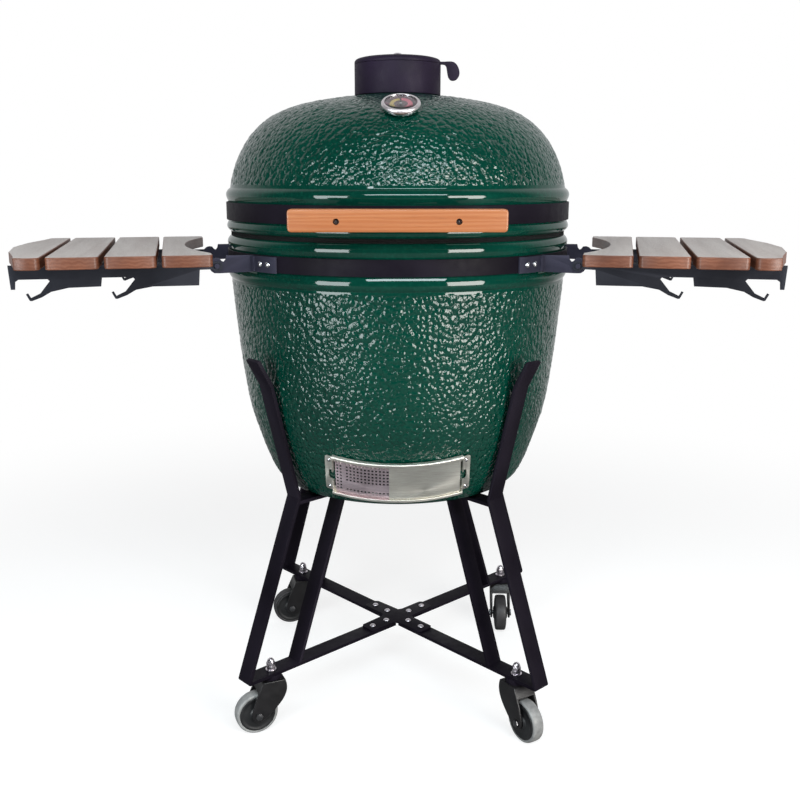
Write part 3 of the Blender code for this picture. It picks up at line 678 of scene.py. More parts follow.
def wall_port(bm, rings, spans, columns, half_columns):
    """Close the thickness of the ceramic round a port."""
    (out_first, out_last), (in_first, in_last) = spans
    left, right = columns - half_columns - 1, half_columns
    chain = list(range(left, columns)) + list(range(right + 1))
    pairs = ((out_first, in_last), (out_last, in_first))
    for out_row, in_row in pairs:
        for i, j in zip(chain, chain[1:]):
            corners = (rings[out_row][i], rings[out_row][j], rings[in_row][j], rings[in_row][i])
            bm.faces.new(corners).material_index = 1
    for column in (left, right):
        corners = [rings[k][column] for k in range(out_first, out_last + 1)]
        corners += [rings[k][column] for k in range(in_first, in_last + 1)]
        bm.faces.new(corners).material_index = 1


def weighted(points, weight):
    return [(r, z, weight) for r, z in points]


def faded(points, ramp=5):
    """Full dimples, fading out over the rows at both ends."""
    last = len(points) - 1
    return [(r, z, min(1.0, k / ramp, (last - k) / ramp)) for k, (r, z) in enumerate(points)]


def rib(start_r, start_z, end_r, end_z, steps=24):
    """Section of a rounded rib that swells out to the belt's radius between two heights."""
    points = []
    for k in range(steps + 1):
        t = k / steps
        edge = start_r + (end_r - start_r) * t
        points.append((edge + (BELT_R - edge) * (1 - (2 * t - 1) ** 2), start_z + (end_z - start_z) * t))
    return points


def add_base_shell(mats):
    foot = fillet([(0.0, BASE_BOTTOM), (0.190, BASE_BOTTOM), (0.2090, 0.4172)], 0.006, closed=False)
    belly = through([
        (0.2120, 0.4190), (0.2254, 0.4330), (0.2392, 0.4620), (0.2552, 0.5080), (0.2690, 0.5560),
        (0.2790, 0.6200), (0.2866, 0.6900), (0.2918, 0.7480), (0.2945, 0.7810),
    ], 0.0029)
    rim = rib(0.2944, 0.7820, RIB_ROOT, 0.8050) + rib(RIB_ROOT, 0.8325, 0.2930, RIM_TOP)
    inner = through([
        (RIM_IN + 0.002, RIM_TOP), (RIM_IN, 0.8530), (0.2690, 0.7600), (0.2640, 0.7000), (0.2560, 0.6200),
        (0.2480, 0.5700), (0.2340, 0.5200), (0.2214, 0.4880), (0.2050, 0.4500), (0.1960, 0.4400),
        (0.0, 0.4400),
    ], 0.020)
    lowest, highest = 0.4480, 0.4880
    inner = [(r, z) for r, z in inner if not lowest - 0.004 < z < highest + 0.004]
    spot = next(k for k, (r, z) in enumerate(inner) if z < lowest)
    inner[spot:spot] = [(0.2214, highest), (0.2020, lowest)]
    outer = weighted(foot, 0.0) + faded(belly) + weighted(rim, 0.0)
    bm = shell(outer, inner, (17.0, lowest - 1e-4, highest + 1e-4))
    piece("base_ceramic", bm, mats["glaze"], "base", ["base_shell"], 50)


def add_lid_shell(mats):
    rim = rib(0.2930, LID_BOTTOM, RIB_ROOT, 0.8802) + rib(RIB_ROOT, 0.9122, 0.2924, 0.9345)
    dome = through([
        (0.2920, 0.9360), (0.2886, 0.9500), (0.2800, 0.9775), (0.2636, 1.0090), (0.2436, 1.0330),
        (0.2176, 1.0530), (0.1846, 1.0674), (0.1450, 1.0772), (0.1100, 1.0828), (0.0815, 1.0868),
    ], 0.0030)
    neck = fillet([
        (0.0798, 1.0871), (0.0765, 1.0881), (0.0640, 1.0884), (0.0640, 1.1060), (0.0520, 1.1060),
        (0.0520, 1.1000),
    ], 0.0030, 3, closed=False)
    inner = through([
        (0.0520, 1.0950), (0.0530, 1.0640), (0.0700, 1.0590), (0.1200, 1.0545), (0.1900, 1.0370),
        (0.2350, 1.0020), (0.2560, 0.9600), (0.2650, 0.9200), (RIM_IN, 0.8640), (RIM_IN + 0.002, LID_BOTTOM),
    ], 0.020)
    bm = shell(weighted(rim, 0.0) + faded(dome) + weighted(neck, 0.0), inner)
    piece("lid_ceramic", bm, mats["glaze"], "lid", ["lid_shell"], 50)


def add_gaskets(mats):
    for node, body in (("lower_gasket", "base"), ("upper_gasket", "lid")):
        low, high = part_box(node)[0].z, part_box(node)[1].z
        section = [(GASKET_OUT, high), (GASKET_OUT, low), (GASKET_IN, low), (GASKET_IN, high)]
        bm = turned(fillet(section, 0.0010, 3), 360)
        for vert in bm.verts:
            shift = noise.noise(vert.co / 0.0040) * 0.0003
            vert.co.x *= 1 + shift
            vert.co.y *= 1 + shift
        piece(node + "_felt", bm, mats["felt"], body, [node], 60)


def add_bands(mats):
    for node, body, (low, high) in (("base_band", "base", BASE_BAND), ("lid_band", "lid", LID_BAND)):
        profile = fillet([(BAND_OUT, low), (BAND_OUT, high), (BAND_IN, high), (BAND_IN, low)], 0.0008, 3)
        piece(node + "_strap", turned(profile, 256), mats["coat"], body, [node], 50)


# ---------------------------------------------------------------- interior

def add_interior(mats):
    pot = fillet([
        (0.1850, 0.4403), (0.2120, 0.4900), (0.2380, 0.5700), (0.2500, 0.6600), (0.2280, 0.6600),
        (0.2160, 0.5700), (0.1960, 0.5200), (0.1820, 0.5200), (0.1640, 0.4640), (0.1600, 0.4403),
    ], 0.0030, 3)
    port = prism(rectangle(-0.060, 0.4300, 0.060, 0.5050), -0.260, -0.140, "XZ")
    bm = carved(turned(pot, 96), port)
    piece("fire_box_clay", bm, mats["fireclay"], "base", ["fire_box"], 30)
    ring = fillet([(0.2500, 0.6603), (0.2560, 0.8000), (0.2340, 0.8000), (0.2280, 0.6603)], 0.0035, 3)
    piece("fire_ring_clay", turned(ring), mats["fireclay"], "base", ["fire_ring"], 30)
    for node in ("charcoal_grate", "cooking_grate"):
        dressed(node, "_casting", 0.0014, mats["iron"], "base", sharp_deg=30)


# ---------------------------------------------------------------- lid fittings

def add_handle(mats):
    low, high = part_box("lid_handle")
    outline = fillet(rectangle(low.x, low.z, high.x, high.z), 0.0065, 6)
    bar = bevelled(prism(outline, low.y, high.y, "XZ"), 0.0026, 3, 60)
    bores = []
    for x in (-HANDLE_BOLT_X, HANDLE_BOLT_X):
        bore = turned(rectangle(0, -0.001, 0.0046, 0.009), 40)
        bores.append(placed(bore, (x, low.y, HANDLE_BOLT_Z), (0, 1, 0)))
    piece("lid_handle_bar", carved(bar, *bores), mats["honey"], "lid", ["lid_handle"], 40)
    for side, x in (("left", -HANDLE_BOLT_X), ("right", HANDLE_BOLT_X)):
        head = fillet([(0.0040, 0.0062), (0.0040, 0.0089), (0, 0.0089, 0), (0, 0.0048, 0), (0.0018, 0.0048),
                       (0.0018, 0.0062)], 0.0006, 2)
        head = placed(turned(head, 24), (x, low.y, HANDLE_BOLT_Z), (0, 1, 0))
        piece("handle_bolt_" + side, head, mats["dark_zinc"], "lid")
        dressed("handle_standoff_" + side, "_post", 0.0010, mats["coat"], "lid")


def cap_vents(start_deg, low, high):
    holes = []
    for k in range(4):
        a = math.radians(start_deg + 90 * k)
        vent = circle(CAP_HOLE_AT * math.cos(a), CAP_HOLE_AT * math.sin(a), CAP_HOLE_R, 40)
        holes.append(prism(vent, low, high))
    return holes


def lever_outline():
    """A short arm from the disc's edge that drops into a teardrop finger tab."""
    return through([
        (0.0660, 1.1452), (0.0800, 1.1455), (0.0930, 1.1456), (0.1000, 1.1425), (0.1050, 1.1350),
        (0.1067, 1.1265), (0.1050, 1.1200), (0.1005, 1.1153), (0.0950, 1.1140), (0.0905, 1.1155),
        (0.0870, 1.1205),
        (0.0852, 1.1290), (0.0838, 1.1365), (0.0815, 1.1395), (0.0785, 1.1405), (0.0660, 1.1407),
    ], 0.0016)


def add_cap(mats):
    low, high = CAP_PLATE
    wall = fillet([
        (CAP_R, high, 0.0005), (CAP_R, CAP_BOTTOM), (0.0653, CAP_BOTTOM), (0.0653, 1.1085), (0.0600, 1.1120),
        (0.0600, low), (0.0048, low, 0), (0.0048, high, 0),
    ], 0.0012, 3)
    body = carved(turned(wall), *cap_vents(0.0, low - 0.003, high + 0.003))
    piece("cap_body_casting", body, mats["cap"], "lid", ["cap_body"], 30)
    disc_low = high + 0.0004
    top = fillet([
        (0.0048, CAP_TOP, 0), (0.0200, 1.1545), (0.0450, 1.1528), (0.0640, 1.1503), (0.0712, 1.1482),
        (CAP_R, 1.1450), (CAP_R, disc_low, 0.0005), (0.0048, disc_low, 0),
    ], 0.0050, 4)
    disc = carved(turned(top), *cap_vents(45.0, disc_low - 0.003, 1.1600))
    piece("cap_disc_casting", disc, mats["cap"], "cap_disc", ["cap_disc"], 30)
    lever = bevelled(prism(lever_outline(), -0.0028, 0.0028, "XZ"), 0.0010, 3, 60)
    piece("cap_lever", lever, mats["cap"], "cap_disc")
    bolt = fillet([
        (0.0, 1.1602, 0), (0.0050, 1.1596), (0.0085, 1.1572), (0.0085, 1.1554), (0.0044, 1.1554),
        (0.0044, 1.1240), (0.0, 1.1240, 0),
    ], 0.0012, 3)
    piece("cap_pivot_bolt", turned(bolt, 48), mats["zinc"], "lid", ["cap_pivot"])


def on_thermo(name, bm, material, stands_for=(), sharp_deg=32.0, body="lid"):
    """Show a piece made about Z on the dome, along the thermometer's stem."""
    bm.transform(Matrix.Translation(THERMO_FOOT) @ Matrix.Rotation(THERMO_TILT, 4, "X"))
    piece(name, bm, material, body, stands_for, sharp_deg)


def dial_arc(inner, outer, start_deg, stop_deg, low, high):
    """A flat printed arc. Angles run clockwise from the dial's twelve o'clock."""
    count = max(2, round(abs(stop_deg - start_deg) / 4))
    angles = [math.radians(90 - start_deg - (stop_deg - start_deg) * k / count) for k in range(count + 1)]
    outline = [(outer * math.cos(a), outer * math.sin(a)) for a in angles]
    outline += [(inner * math.cos(a), inner * math.sin(a)) for a in reversed(angles)]
    return prism(outline, low, high)


def dial_tick(angle_deg, inner, outer, half, low, high):
    bm = prism(rectangle(-half, inner, half, outer), low, high)
    bm.transform(Matrix.Rotation(-math.radians(angle_deg), 4, "Z"))
    return bm


def add_thermometer(mats):
    face_z = 0.0070
    bezel = fillet([
        (0.0, -0.0700, 0), (0.0028, -0.0700), (0.0040, -0.0680), (0.0040, 0.0006), (THERMO_R - 0.003, 0.0006),
        (THERMO_R, 0.0040), (THERMO_R, 0.0090), (0.0285, 0.0115), (0.0266, 0.0115), (0.0262, face_z),
        (0.0, face_z, 0),
    ], 0.0016, 4)
    on_thermo("thermometer_bezel", turned(bezel), mats["chrome"], ["thermometer_case"], 30)
    ring = fillet([
        (0.0262, 0.0116, 0), (0.0298, 0.0092), (0.0298, 0.0072), (0.0301, 0.0072), (0.0301, 0.0096),
        (0.0286, 0.0119), (0.0252, 0.0119), (0.0252, 0.0116, 0),
    ], 0.0008, 3)
    on_thermo("thermometer_ring", turned(ring), mats["bezel"], (), 30)
    back, front = face_z + 0.00005, face_z + 0.0003
    face = fillet([(0, back, 0), (0.0258, back, 0), (0.0258, front), (0, front, 0)], 0.0001, 1)
    on_thermo("thermometer_dial", turned(face, 96), mats["dial"])
    low, high = face_z + 0.00032, face_z + 0.00045
    arcs = (
        ("dial_warm_arc", "dial_yellow", 0.0105, 0.0165, -128, -8),
        ("dial_hot_arc", "dial_red", 0.0105, 0.0175, -2, 158),
    )
    for name, material, inner, outer, start, stop in arcs:
        on_thermo(name, dial_arc(inner, outer, start, stop, low, high), mats[material])
    ticks = []
    for k in range(28):
        angle = -135 + 10 * k
        inner = 0.0195 if k % 3 == 0 else 0.0212
        ticks.append(dial_tick(angle, inner, 0.0236, 0.00035 if k % 3 else 0.00055, low, high))
    on_thermo("dial_ticks", joined(*ticks), mats["dial_white"])
    needle = fillet([
        (-0.0012, -0.0060), (0.0012, -0.0060), (0.0016, 0.0), (0.0003, 0.0190), (-0.0003, 0.0190),
        (-0.0016, 0.0),
    ], 0.0003, 2)
    pointer = bevelled(prism(needle, 0.0076, 0.0081), 0.00012, 1)
    moving = "thermometer_needle"
    on_thermo("needle_blade", pointer, mats["hub"], [moving], body=moving)
    hub = [(0.0, 0.0087), (0.0012, 0.0087), (0.0021, 0.0085), (0.0024, 0.0080), (0.0, 0.0080)]
    on_thermo("needle_hub", turned(hub, 32), mats["chrome"], body=moving)
    glass = fillet([
        (0.0, 0.0091, 0), (0.0256, 0.0088), (0.0258, 0.0104), (0.0180, 0.0111), (0.0, 0.0114, 0)], 0.0006, 3)
    on_thermo("thermometer_glass", turned(glass, 96), mats["lens"], ["thermometer_lens"], 60)
    nut = bevelled(prism(circle(0, 0, 0.0085, 6), -0.0395, -0.0340), 0.0006)
    bore = turned(rectangle(0, -0.05, 0.0043, -0.03), 32)
    on_thermo("thermometer_lock_nut", carved(nut, bore), mats["zinc"], ["thermometer_nut"])


# ---------------------------------------------------------------- rear hinge

def add_hinge(mats):
    for node, body in (("lower_hinge_bracket", "base"), ("upper_hinge_bracket", "lid")):
        dressed(node, "_plate", 0.0008, mats["coat"], body)
    low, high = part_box("hinge_pin")
    half, r = high.x, (high.z - low.z) / 2
    rod = fillet([(0, -half, 0), (r, -half), (r, half), (0, half, 0)], 0.0012, 3)
    rod = placed(turned(rod, 32), (0, HINGE_Y, HINGE_Z), (1, 0, 0))
    piece("hinge_rod", rod, mats["zinc"], "base", ["hinge_pin"])
    for side, name in ((-1, "left"), (1, "right")):
        path = []
        for i in range(SPRING_TURNS * SPRING_STEPS + 1):
            a = 2 * math.pi * i / SPRING_STEPS
            x = side * (0.0060 + 0.0290 * i / (SPRING_TURNS * SPRING_STEPS))
            path.append(Vector((x, HINGE_Y + SPRING_R * math.cos(a), HINGE_Z + SPRING_R * math.sin(a))))
        piece("hinge_coil_" + name, tube(path, 0.0013, 8), mats["wire_steel"], "base",
              ["hinge_spring_" + name], 60)
    for body, z in (("base", sum(BASE_BAND) / 2), ("lid", sum(LID_BAND) / 2)):
        for name, angle in (("left", 172.5), ("right", 187.5)):
            out = from_front(math.radians(angle), 1.0, 0)
            spot = out * (BAND_OUT + 0.0044) + Vector((0, 0, z))
            bolt = placed(dome_head(0.0055, 0.0032), spot, out)
            piece("%s_hinge_bolt_%s" % (body, name), bolt, mats["zinc"], body)


def dome_head(radius, height):
    """A round-headed bolt's head, standing on z = 0."""
    arc = [(radius * math.cos(t), height * math.sin(t)) for t in (0.35, 0.7, 1.05, 1.35)]
    return turned([(0, 0), (radius * 0.93, 0), (radius, height * 0.12)] + arc + [(0, height)], 32)


# ---------------------------------------------------------------- draft door

def leaned(bm):
    """Lean a piece that was bent round Z onto the door's axis."""
    bm.transform(Matrix.Translation(DOOR_CENTRE) @ Matrix.Rotation(DOOR_SLOPE, 4, "X"))
    return bm


def door_section(low, high, back, front):
    return rectangle(DOOR_R + back, low, DOOR_R + front, high)


def on_door(bm, azimuth_deg, up, out):
    """Stand a piece made on the XY plane on the door's face, its X axis along the door."""
    a = math.radians(azimuth_deg)
    spot = from_front(a, DOOR_R + out, up)
    bm.transform(Matrix.Translation(spot) @ Matrix.Rotation(a, 4, "Z") @ Matrix.Rotation(math.pi / 2, 4, "X"))
    return leaned(bm)


def channel_outline(s):
    """Section of the folded frame at the upper or lower edge of the door."""
    edge = DOOR_HIGH if s > 0 else DOOR_LOW
    t, depth = DOOR_SHEET, DOOR_DEPTH
    points = [
        (edge - s * 0.0135, 0.0, 0.0002), (edge, 0.0, 0.0016), (edge, depth, 0.0022),
        (edge - s * 0.0056, depth, 0.0005), (edge - s * 0.0056, depth - t, 0.0003),
        (edge - s * t, depth - t, 0.0009), (edge - s * t, t, 0.0005), (edge - s * 0.0135, t, 0.0002),
    ]
    return [(DOOR_R + v, u) for u, v in fillet(points, 0, 3)]


def finger_notch(side):
    oval = prism(fillet(rectangle(-0.0060, -0.0120, 0.0060, 0.0080), 0.0060, 6), -0.012, 0.012)
    return on_door(oval, side * 24.4, 0.0, 0.0)


def add_draft_door(mats):
    half = DOOR_HALF_DEG
    steel = mats["door_steel"]
    parts = [leaned(sector(channel_outline(s), -half, half)) for s in (-1, 1)]
    piece("door_channels", joined(*parts), steel, "base", ["door_frame"], 35)
    for side, name in ((-1, "left"), (1, "right")):
        middle = side * (half + DOOR_FLANGE_DEG) / 2
        plate = fillet(rectangle(-0.0074, -0.0350, 0.0074, 0.0350), 0.0055, 6)
        plate = on_door(bevelled(prism(plate, 0.0004, 0.0022), 0.0006, 2, 60), middle, 0.0, 0.0)
        jamb = leaned(sector(door_section(DOOR_LOW + 0.0014, DOOR_HIGH - 0.0014, 0.0003, DOOR_DEPTH - 0.0004),
                             side * (half - 0.30), side * half, 0.30))
        flange = joined(carved(plate, finger_notch(side)), carved(jamb, finger_notch(side)))
        piece("door_flange_" + name, flange, steel, "base")
        for level, up in DOOR_SCREWS:
            screw = on_door(dome_head(0.0034, 0.0024), side * (half + 1.45), up, 0.0022)
            piece("door_screw_%s_%s" % (name, level), screw, mats["chrome"], "base")
    inside = half - 0.6
    low, high = DOOR_LOW + DOOR_SHEET + 0.0004, DOOR_HIGH - DOOR_SHEET - 0.0004
    panel = sector(door_section(low, high, 0.0037, 0.0049), PANEL_MEET_DEG, inside - 0.4)
    piece("draft_panel_sheet", leaned(panel), steel, "draft_panel", ["draft_panel"], 35)
    screen = leaned(perforated(low, high, 0.4 - inside, PANEL_MEET_DEG + 1.2))
    piece("draft_screen_sheet", screen, mats["screen_steel"], "draft_screen", ["draft_screen"], 35)


def perforated(low, high, start_deg, stop_deg):
    """The screen's square holes: a main field, two full columns at its outer end and a row near its foot."""
    hole, hole_deg = 0.0034, 0.74
    end_columns = [-22.1, -20.8]
    columns = end_columns + [-18.4 + 1.35 * k for k in range(12)]
    rows = [-0.0250, -0.0184, -0.0118, -0.0052, 0.0014, 0.0080, 0.0146, 0.0212, 0.0278]
    across = [start_deg] + [x for c in columns for x in (c - hole_deg / 2, c + hole_deg / 2)] + [stop_deg]
    upward = [low] + [x for u in rows for x in (u - hole / 2, u + hole / 2)] + [high]
    bm = bmesh.new()
    sheets = []
    for out in (0.0018, 0.0030):
        sheets.append([[bm.verts.new(from_front(math.radians(c), DOOR_R + out, up)) for c in across]
                       for up in upward])
    last_row, last_column = len(upward) - 1, len(across) - 1

    def solid(i, j):
        if not (0 <= i < last_row and 0 <= j < last_column):
            return False
        if not (i % 2 and j % 2):
            return True
        return not (j // 2 < len(end_columns) or i // 2 == 0 or i // 2 >= 3)

    for i in range(last_row):
        for j in range(last_column):
            if not solid(i, j):
                continue
            for sheet in sheets:
                bm.faces.new((sheet[i][j], sheet[i][j + 1], sheet[i + 1][j + 1], sheet[i + 1][j]))
            sides = (
                (solid(i - 1, j), (i, j), (i, j + 1)), (solid(i + 1, j), (i + 1, j), (i + 1, j + 1)),
                (solid(i, j - 1), (i, j), (i + 1, j)), (solid(i, j + 1), (i, j + 1), (i + 1, j + 1)),
            )
            for covered, p, q in sides:
                if not covered:
                    bm.faces.new([sheets[0][p[0]][p[1]], sheets[0][q[0]][q[1]], sheets[1][q[0]][q[1]],
                                  sheets[1][p[0]][p[1]]])
    return bm


# ---------------------------------------------------------------- cart

def stem_spot(angle_deg):
    return around(STAND_YAW + math.radians(angle_deg), STEM_R)


def stem_nut():
    """Washer, lower nut and dome nut on a caster's stem, standing on z = 0."""
    washer = turned(fillet([(0, 0, 0), (0.0095, 0), (0.0095, 0.0016), (0, 0.0016, 0)], 0.0004, 2), 32)
    lower = bevelled(prism(circle(0, 0, 0.0082, 6), 0.0018, 0.0085), 0.0007, 2)
    upper = bevelled(prism(circle(0, 0, 0.0080, 6, 0.4), 0.0088, 0.0145), 0.0007, 2)
    dome = [(0.0064 * math.cos(t), 0.0144 + 0.0072 * math.sin(t)) for t in (0.0, 0.3, 0.6, 0.9, 1.2, 1.4)]
    return joined(washer, lower, upper, turned([(0, 0.0144)] + dome + [(0, 0.0216)], 32))


def add_cart(mats):
    for name, angle, _ in CASTERS:
        leg = copied(name + "_leg")
        toe = [e for e in leg.edges
               if all(v.co.z < FOOT_Z + 0.0005 and v.co.xy.length > TOE_R for v in e.verts)]
        bmesh.ops.bevel(leg, geom=toe, offset=0.0060, segments=5, profile=0.5, affect="EDGES",
                        clamp_overlap=True)
        leg = bevelled(leg, 0.0011, 2)
        piece(name + "_leg_weldment", leg, mats["coat"], "base", [name + "_leg"])
        spot = stem_spot(angle) + Vector((0, 0, BAR_TOP + 0.0002))
        nut = placed(stem_nut(), spot, spin=math.radians(angle))
        piece(name + "_stem_nut", nut, mats["zinc"], "base")
    for node in ("cross_plate", "nest_plate"):
        dressed(node, "_steel", 0.0008, mats["coat"], "base")
    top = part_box("cross_plate")[1].z
    for k in range(4):
        for name, reach in (("inner", 0.0300), ("outer", 0.0650)):
            spot = around(STAND_YAW + math.radians(45 + 90 * k), reach, top + 0.0001)
            bolt = placed(dome_head(0.0056, 0.0030), spot)
            piece("cross_bolt_%s_%d" % (name, k + 1), bolt, mats["zinc"], "base")


def fork_outline():
    """Side view of a caster's fork: a flat top, and cheeks that sweep down to the axle."""
    front = through([
        (0.0205, 0.0975), (0.0262, 0.0850), (0.0335, 0.0690), (0.0385, 0.0530), (0.0405, 0.0400),
        (0.0375, 0.0300), (0.0300, 0.0258),
    ], 0.0030)
    back = through([
        (0.0300, 0.0258), (0.0215, 0.0282), (0.0120, 0.0345), (-0.0010, 0.0460), (-0.0130, 0.0590),
        (-0.0205, 0.0720), (-0.0228, 0.0850), (-0.0205, 0.0975),
    ], 0.0030)
    return front + back[1:] + [(-0.0190, FORK_TOP), (0.0190, FORK_TOP)]


def tyre_section():
    edge = WHEEL_R - 0.0005
    return fillet([
        (0.0300, -0.0095, 0.001), (0.0345, -0.0112, 0.002), (edge, -0.0085, 0.006), (WHEEL_R, 0.0, 0.010),
        (edge, 0.0085, 0.006), (0.0345, 0.0112, 0.002), (0.0300, 0.0095, 0.001),
    ], 0.002, 4)


def hub_section():
    """The hub, the same on both sides of the wheel's middle."""
    half = [(0.0044, 0.0150), (0.0120, 0.0148), (0.0145, 0.0116), (0.0245, 0.0104), (0.0290, 0.0118),
            (0.0318, 0.0112)]
    return fillet(half + [(r, -z) for r, z in reversed(half)], 0.0016, 3)


def add_casters(mats):
    hub_at = Matrix.Translation((TRAIL, 0, WHEEL_R)) @ Matrix.Rotation(math.pi / 2, 4, "X")
    for name, angle, heading in CASTERS:
        swivel = Matrix.Translation(stem_spot(angle)) @ Matrix.Rotation(math.radians(heading), 4, "Z")

        def show(ending, bm, material, part, stands_for=(), sharp_deg=32.0):
            bm.transform(swivel @ hub_at if part == "_wheel" else swivel)
            piece(name + ending, bm, mats[material], name + part, stands_for, sharp_deg)

        room = prism(rectangle(-0.05, 0.0, 0.09, 0.0800), -FORK_ROOM, FORK_ROOM, "XZ")
        fork = bevelled(carved(prism(fork_outline(), -FORK_HALF, FORK_HALF, "XZ"), room), 0.0014, 3, 50)
        show("_fork_pressing", fork, "fork_black", "_caster", [name + "_fork"], 40)
        rod = turned(rectangle(0, -0.0220, 0.0040, 0.0220), 32)
        show("_axle", placed(rod, (TRAIL, 0, WHEEL_R), (0, 1, 0)), "dark_zinc", "_caster")
        rubber = "tread_dark" if name.startswith("rear") else "tread"
        show("_tread", turned(tyre_section(), 96), rubber, "_wheel", [name + "_wheel"], 50)
        show("_hub", turned(hub_section(), 72), "hub", "_wheel", (), 45)
        for side, label in ((-1, "inner"), (1, "outer")):
            head = bevelled(prism(circle(0, 0, 0.0068, 6), 0.0, 0.0030), 0.0006, 2)
            head = placed(head, (TRAIL, side * 0.0206, WHEEL_R), (0, side, 0))
            show("_axle_%s_nut" % label, head, "dark_zinc", "_caster")


# ---------------------------------------------------------------- side shelves

def shelf_frame(sign):
    turn = -SHELF_SWEEP if sign > 0 else math.pi + SHELF_SWEEP
    out = Matrix.Rotation(turn, 4, "Z") @ Vector((SHELF_HINGE[0], 0, 0))
    return Matrix.Translation(out) @ Matrix.Rotation(turn, 4, "Z")


def add_shelves(mats):
    for name, sign in (("left", -1), ("right", 1)):
        body = name + "_shelf"
        for k in range(4):
            dressed("%s_slat_%d" % (name, k + 1), "_board", 0.0018, mats[name + "_slats"], body,
                    3, 50, 40)
        for end, where in ((-sign, "front"), (sign, "rear")):
            rail = "%s_%s_rail" % (name, where)
            dressed(rail, "_plate", 0.0005, mats["rail_coat"], body)
            add_slat_screws(rail, body, end, shelf_frame(sign), mats)
            add_bracket(name, where, end, sign, mats)


def add_slat_screws(rail, body, end, frame_at, mats):
    """Screws through the rail's flange into the slats, two to a slat where the rail reaches, seen from below.
    """
    heads = []
    for near, far in SLAT_EDGES:
        for share in (0.3, 0.7):
            x = near + (far - near) * share - SHELF_HINGE[0]
            if x < 0.2960:
                spot = (x, end * (RAIL_AT + 0.0110), FLANGE_LOW)
                heads.append(placed(dome_head(0.0040, 0.0022), spot, (0, 0, -1)))
    heads = joined(*heads)
    heads.transform(frame_at)
    piece(rail + "_screws", heads, mats["zinc"], body)


def add_bracket(name, where, end, sign, mats):
    node = "%s_%s_bracket" % (name, where)
    dressed(node, "_plate", 0.0006, mats["bracket_coat"], "base")
    turn = shelf_frame(sign).to_3x3()
    seat = BAND_OUT + 0.0042
    base = math.degrees(math.asin(BRACKET_AT / seat))
    boss = fillet(rectangle(seat, BRACKET_FOLD[0], seat + 0.0026, BRACKET_FOLD[1]), 0.0008, 2)
    start, stop = (base - 0.2, base + 2.2) if end > 0 else (-base - 2.2, -base + 0.2)
    boss = sector(boss, start + 90, stop + 90, 0.6)
    boss.transform(turn.to_4x4())
    piece(node + "_fold", boss, mats["bracket_coat"], "base")
    for k, offset in enumerate(BRACKET_BOLTS_DEG):
        out = turn @ around(math.radians(end * (base + offset)), 1.0)
        spot = out * seat + Vector((0, 0, BRACKET_BOLT_Z))
        bolt = placed(dome_head(0.0046, 0.0034), spot, out)
        piece("%s_bolt_%d" % (node, k + 1), bolt, mats["chrome"], "base")


# ---------------------------------------------------------------- stage

def floor_material():
    """Pale floor that fades to plain white away from the object. In reflections it is dim in front."""
    s = Shade("pale_floor", (0.5, 0.5, 0.5), 0.9, inputs={
        "Specular IOR Level": 0.0, "Emission Strength": 1.0})
    spot = s.place()
    radius = s.node("VectorMath", operation="LENGTH")
    s.link(spot, radius.inputs[0])

    def fade(value, start, stop, low, high):
        node = s.node("MapRange", interpolation_type="SMOOTHSTEP")
        s.set_all(node, {"From Min": start, "From Max": stop, "To Min": low, "To Max": high})
        s.link(value, node.inputs["Value"])
        return node.outputs["Result"]

    seen = s.node("LightPath").outputs["Is Camera Ray"]
    far = radius.outputs["Value"]
    s.color(s.mix(seen, (0.20, 0.20, 0.20), s.ramp(fade(far, 0.7, 2.2, 1, 0), (0, 0.0), (1, 0.42))))
    glow = s.mix(seen, s.ramp(fade(s.parts(spot)["Y"], 0.3, 2.5, 0, 1), (0, 0.0), (1, 0.55)),
                 s.ramp(fade(far, 0.7, 2.2, 0, 1), (0, 0.70), (1, 1.0)))
    s.link(glow, s.shader.inputs["Emission Color"])
    return s.material


def add_stage():
    bm = bmesh.new()
    bmesh.ops.create_grid(bm, x_segments=2, y_segments=2, size=12.0)
    mesh = bpy.data.meshes.new("floor")
    bm.to_mesh(mesh)
    bm.free()
    mesh.materials.append(floor_material())
    floor = bpy.data.objects.new("floor", mesh)
    floor.location = (0, 0, -0.0004)
    bpy.context.scene.collection.objects.link(floor)


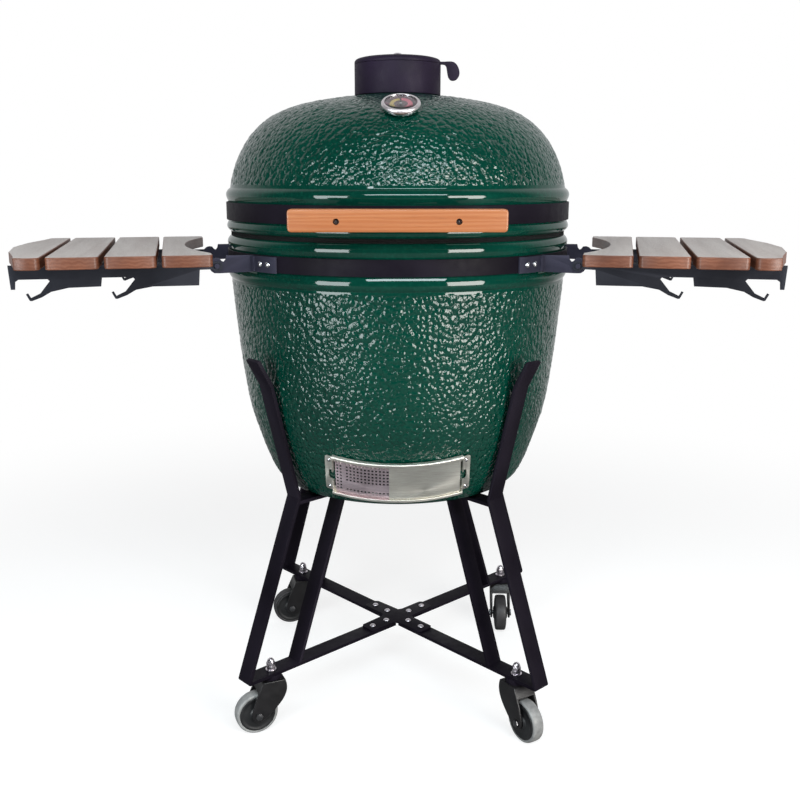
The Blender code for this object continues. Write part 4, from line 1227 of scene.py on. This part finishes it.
def add_world():
    """White beyond the object, dim on the camera's side, and plain white to look at."""
    world = bpy.data.worlds.new("studio")
    bpy.context.scene.world = world
    world.use_nodes = True
    n = Nodes(world.node_tree)
    ahead = n.parts(n.node("TexCoord").outputs["Generated"])["Y"]
    share = n.calc("MULTIPLY_ADD", ahead, 0.5, 0.5)
    sky = n.ramp(share, (0.45, (0.035, 0.035, 0.040)), (0.75, (0.62, 0.63, 0.64)))
    sky.node.color_ramp.interpolation = "EASE"
    seen = n.node("LightPath").outputs["Is Camera Ray"]
    n.link(n.mix(seen, sky, (1.0, 1.0, 1.0)), n.tree.nodes["Background"].inputs["Color"])


def add_softbox(name, location, target, size, radiance, tint=(1, 1, 1)):
    light = bpy.data.lights.new(name, "AREA")
    light.shape = "RECTANGLE"
    light.size, light.size_y = size
    light.energy = radiance * math.pi * size[0] * size[1]
    light.color = tint
    obj = bpy.data.objects.new(name, light)
    bpy.context.scene.collection.objects.link(obj)
    obj.location = location
    obj.rotation_euler = (Vector(target) - Vector(location)).to_track_quat("-Z", "Y").to_euler()


def add_lights():
    add_softbox("softbox_left", (-1.56, -1.86, 0.80), (0, 0, 0.62), (0.95, 1.40), 8.8, (0.92, 0.98, 1.0))
    add_softbox("softbox_right", (1.62, -1.80, 0.80), (0, 0, 0.62), (1.00, 1.40), 12.4, (1.0, 0.98, 0.94))
    add_softbox("softbox_top", (0.22, -2.20, 2.35), (0, 0, 0.90), (2.20, 0.50), 13.5, (0.84, 0.95, 1.0))


def add_camera():
    data = bpy.data.cameras.new("camera")
    data.lens = 43.35
    data.sensor_width = 36.0
    data.shift_x = 0.0030
    camera = bpy.data.objects.new("camera", data)
    camera.location = (0, -1.745, 0.952)
    camera.rotation_euler = (math.pi / 2 - 0.2273, 0, 0)
    bpy.context.scene.collection.objects.link(camera)
    bpy.context.scene.camera = camera


def build():
    add_camera()
    add_world()
    add_lights()
    add_stage()
    mats = make_materials()
    add_base_shell(mats)
    add_lid_shell(mats)
    add_gaskets(mats)
    add_bands(mats)
    add_interior(mats)
    add_handle(mats)
    add_cap(mats)
    add_thermometer(mats)
    add_hinge(mats)
    add_draft_door(mats)
    add_cart(mats)
    add_casters(mats)
    add_shelves(mats)
    bpy.context.scene.view_settings.view_transform = "Standard"
    bpy.context.view_layer.update()


build()
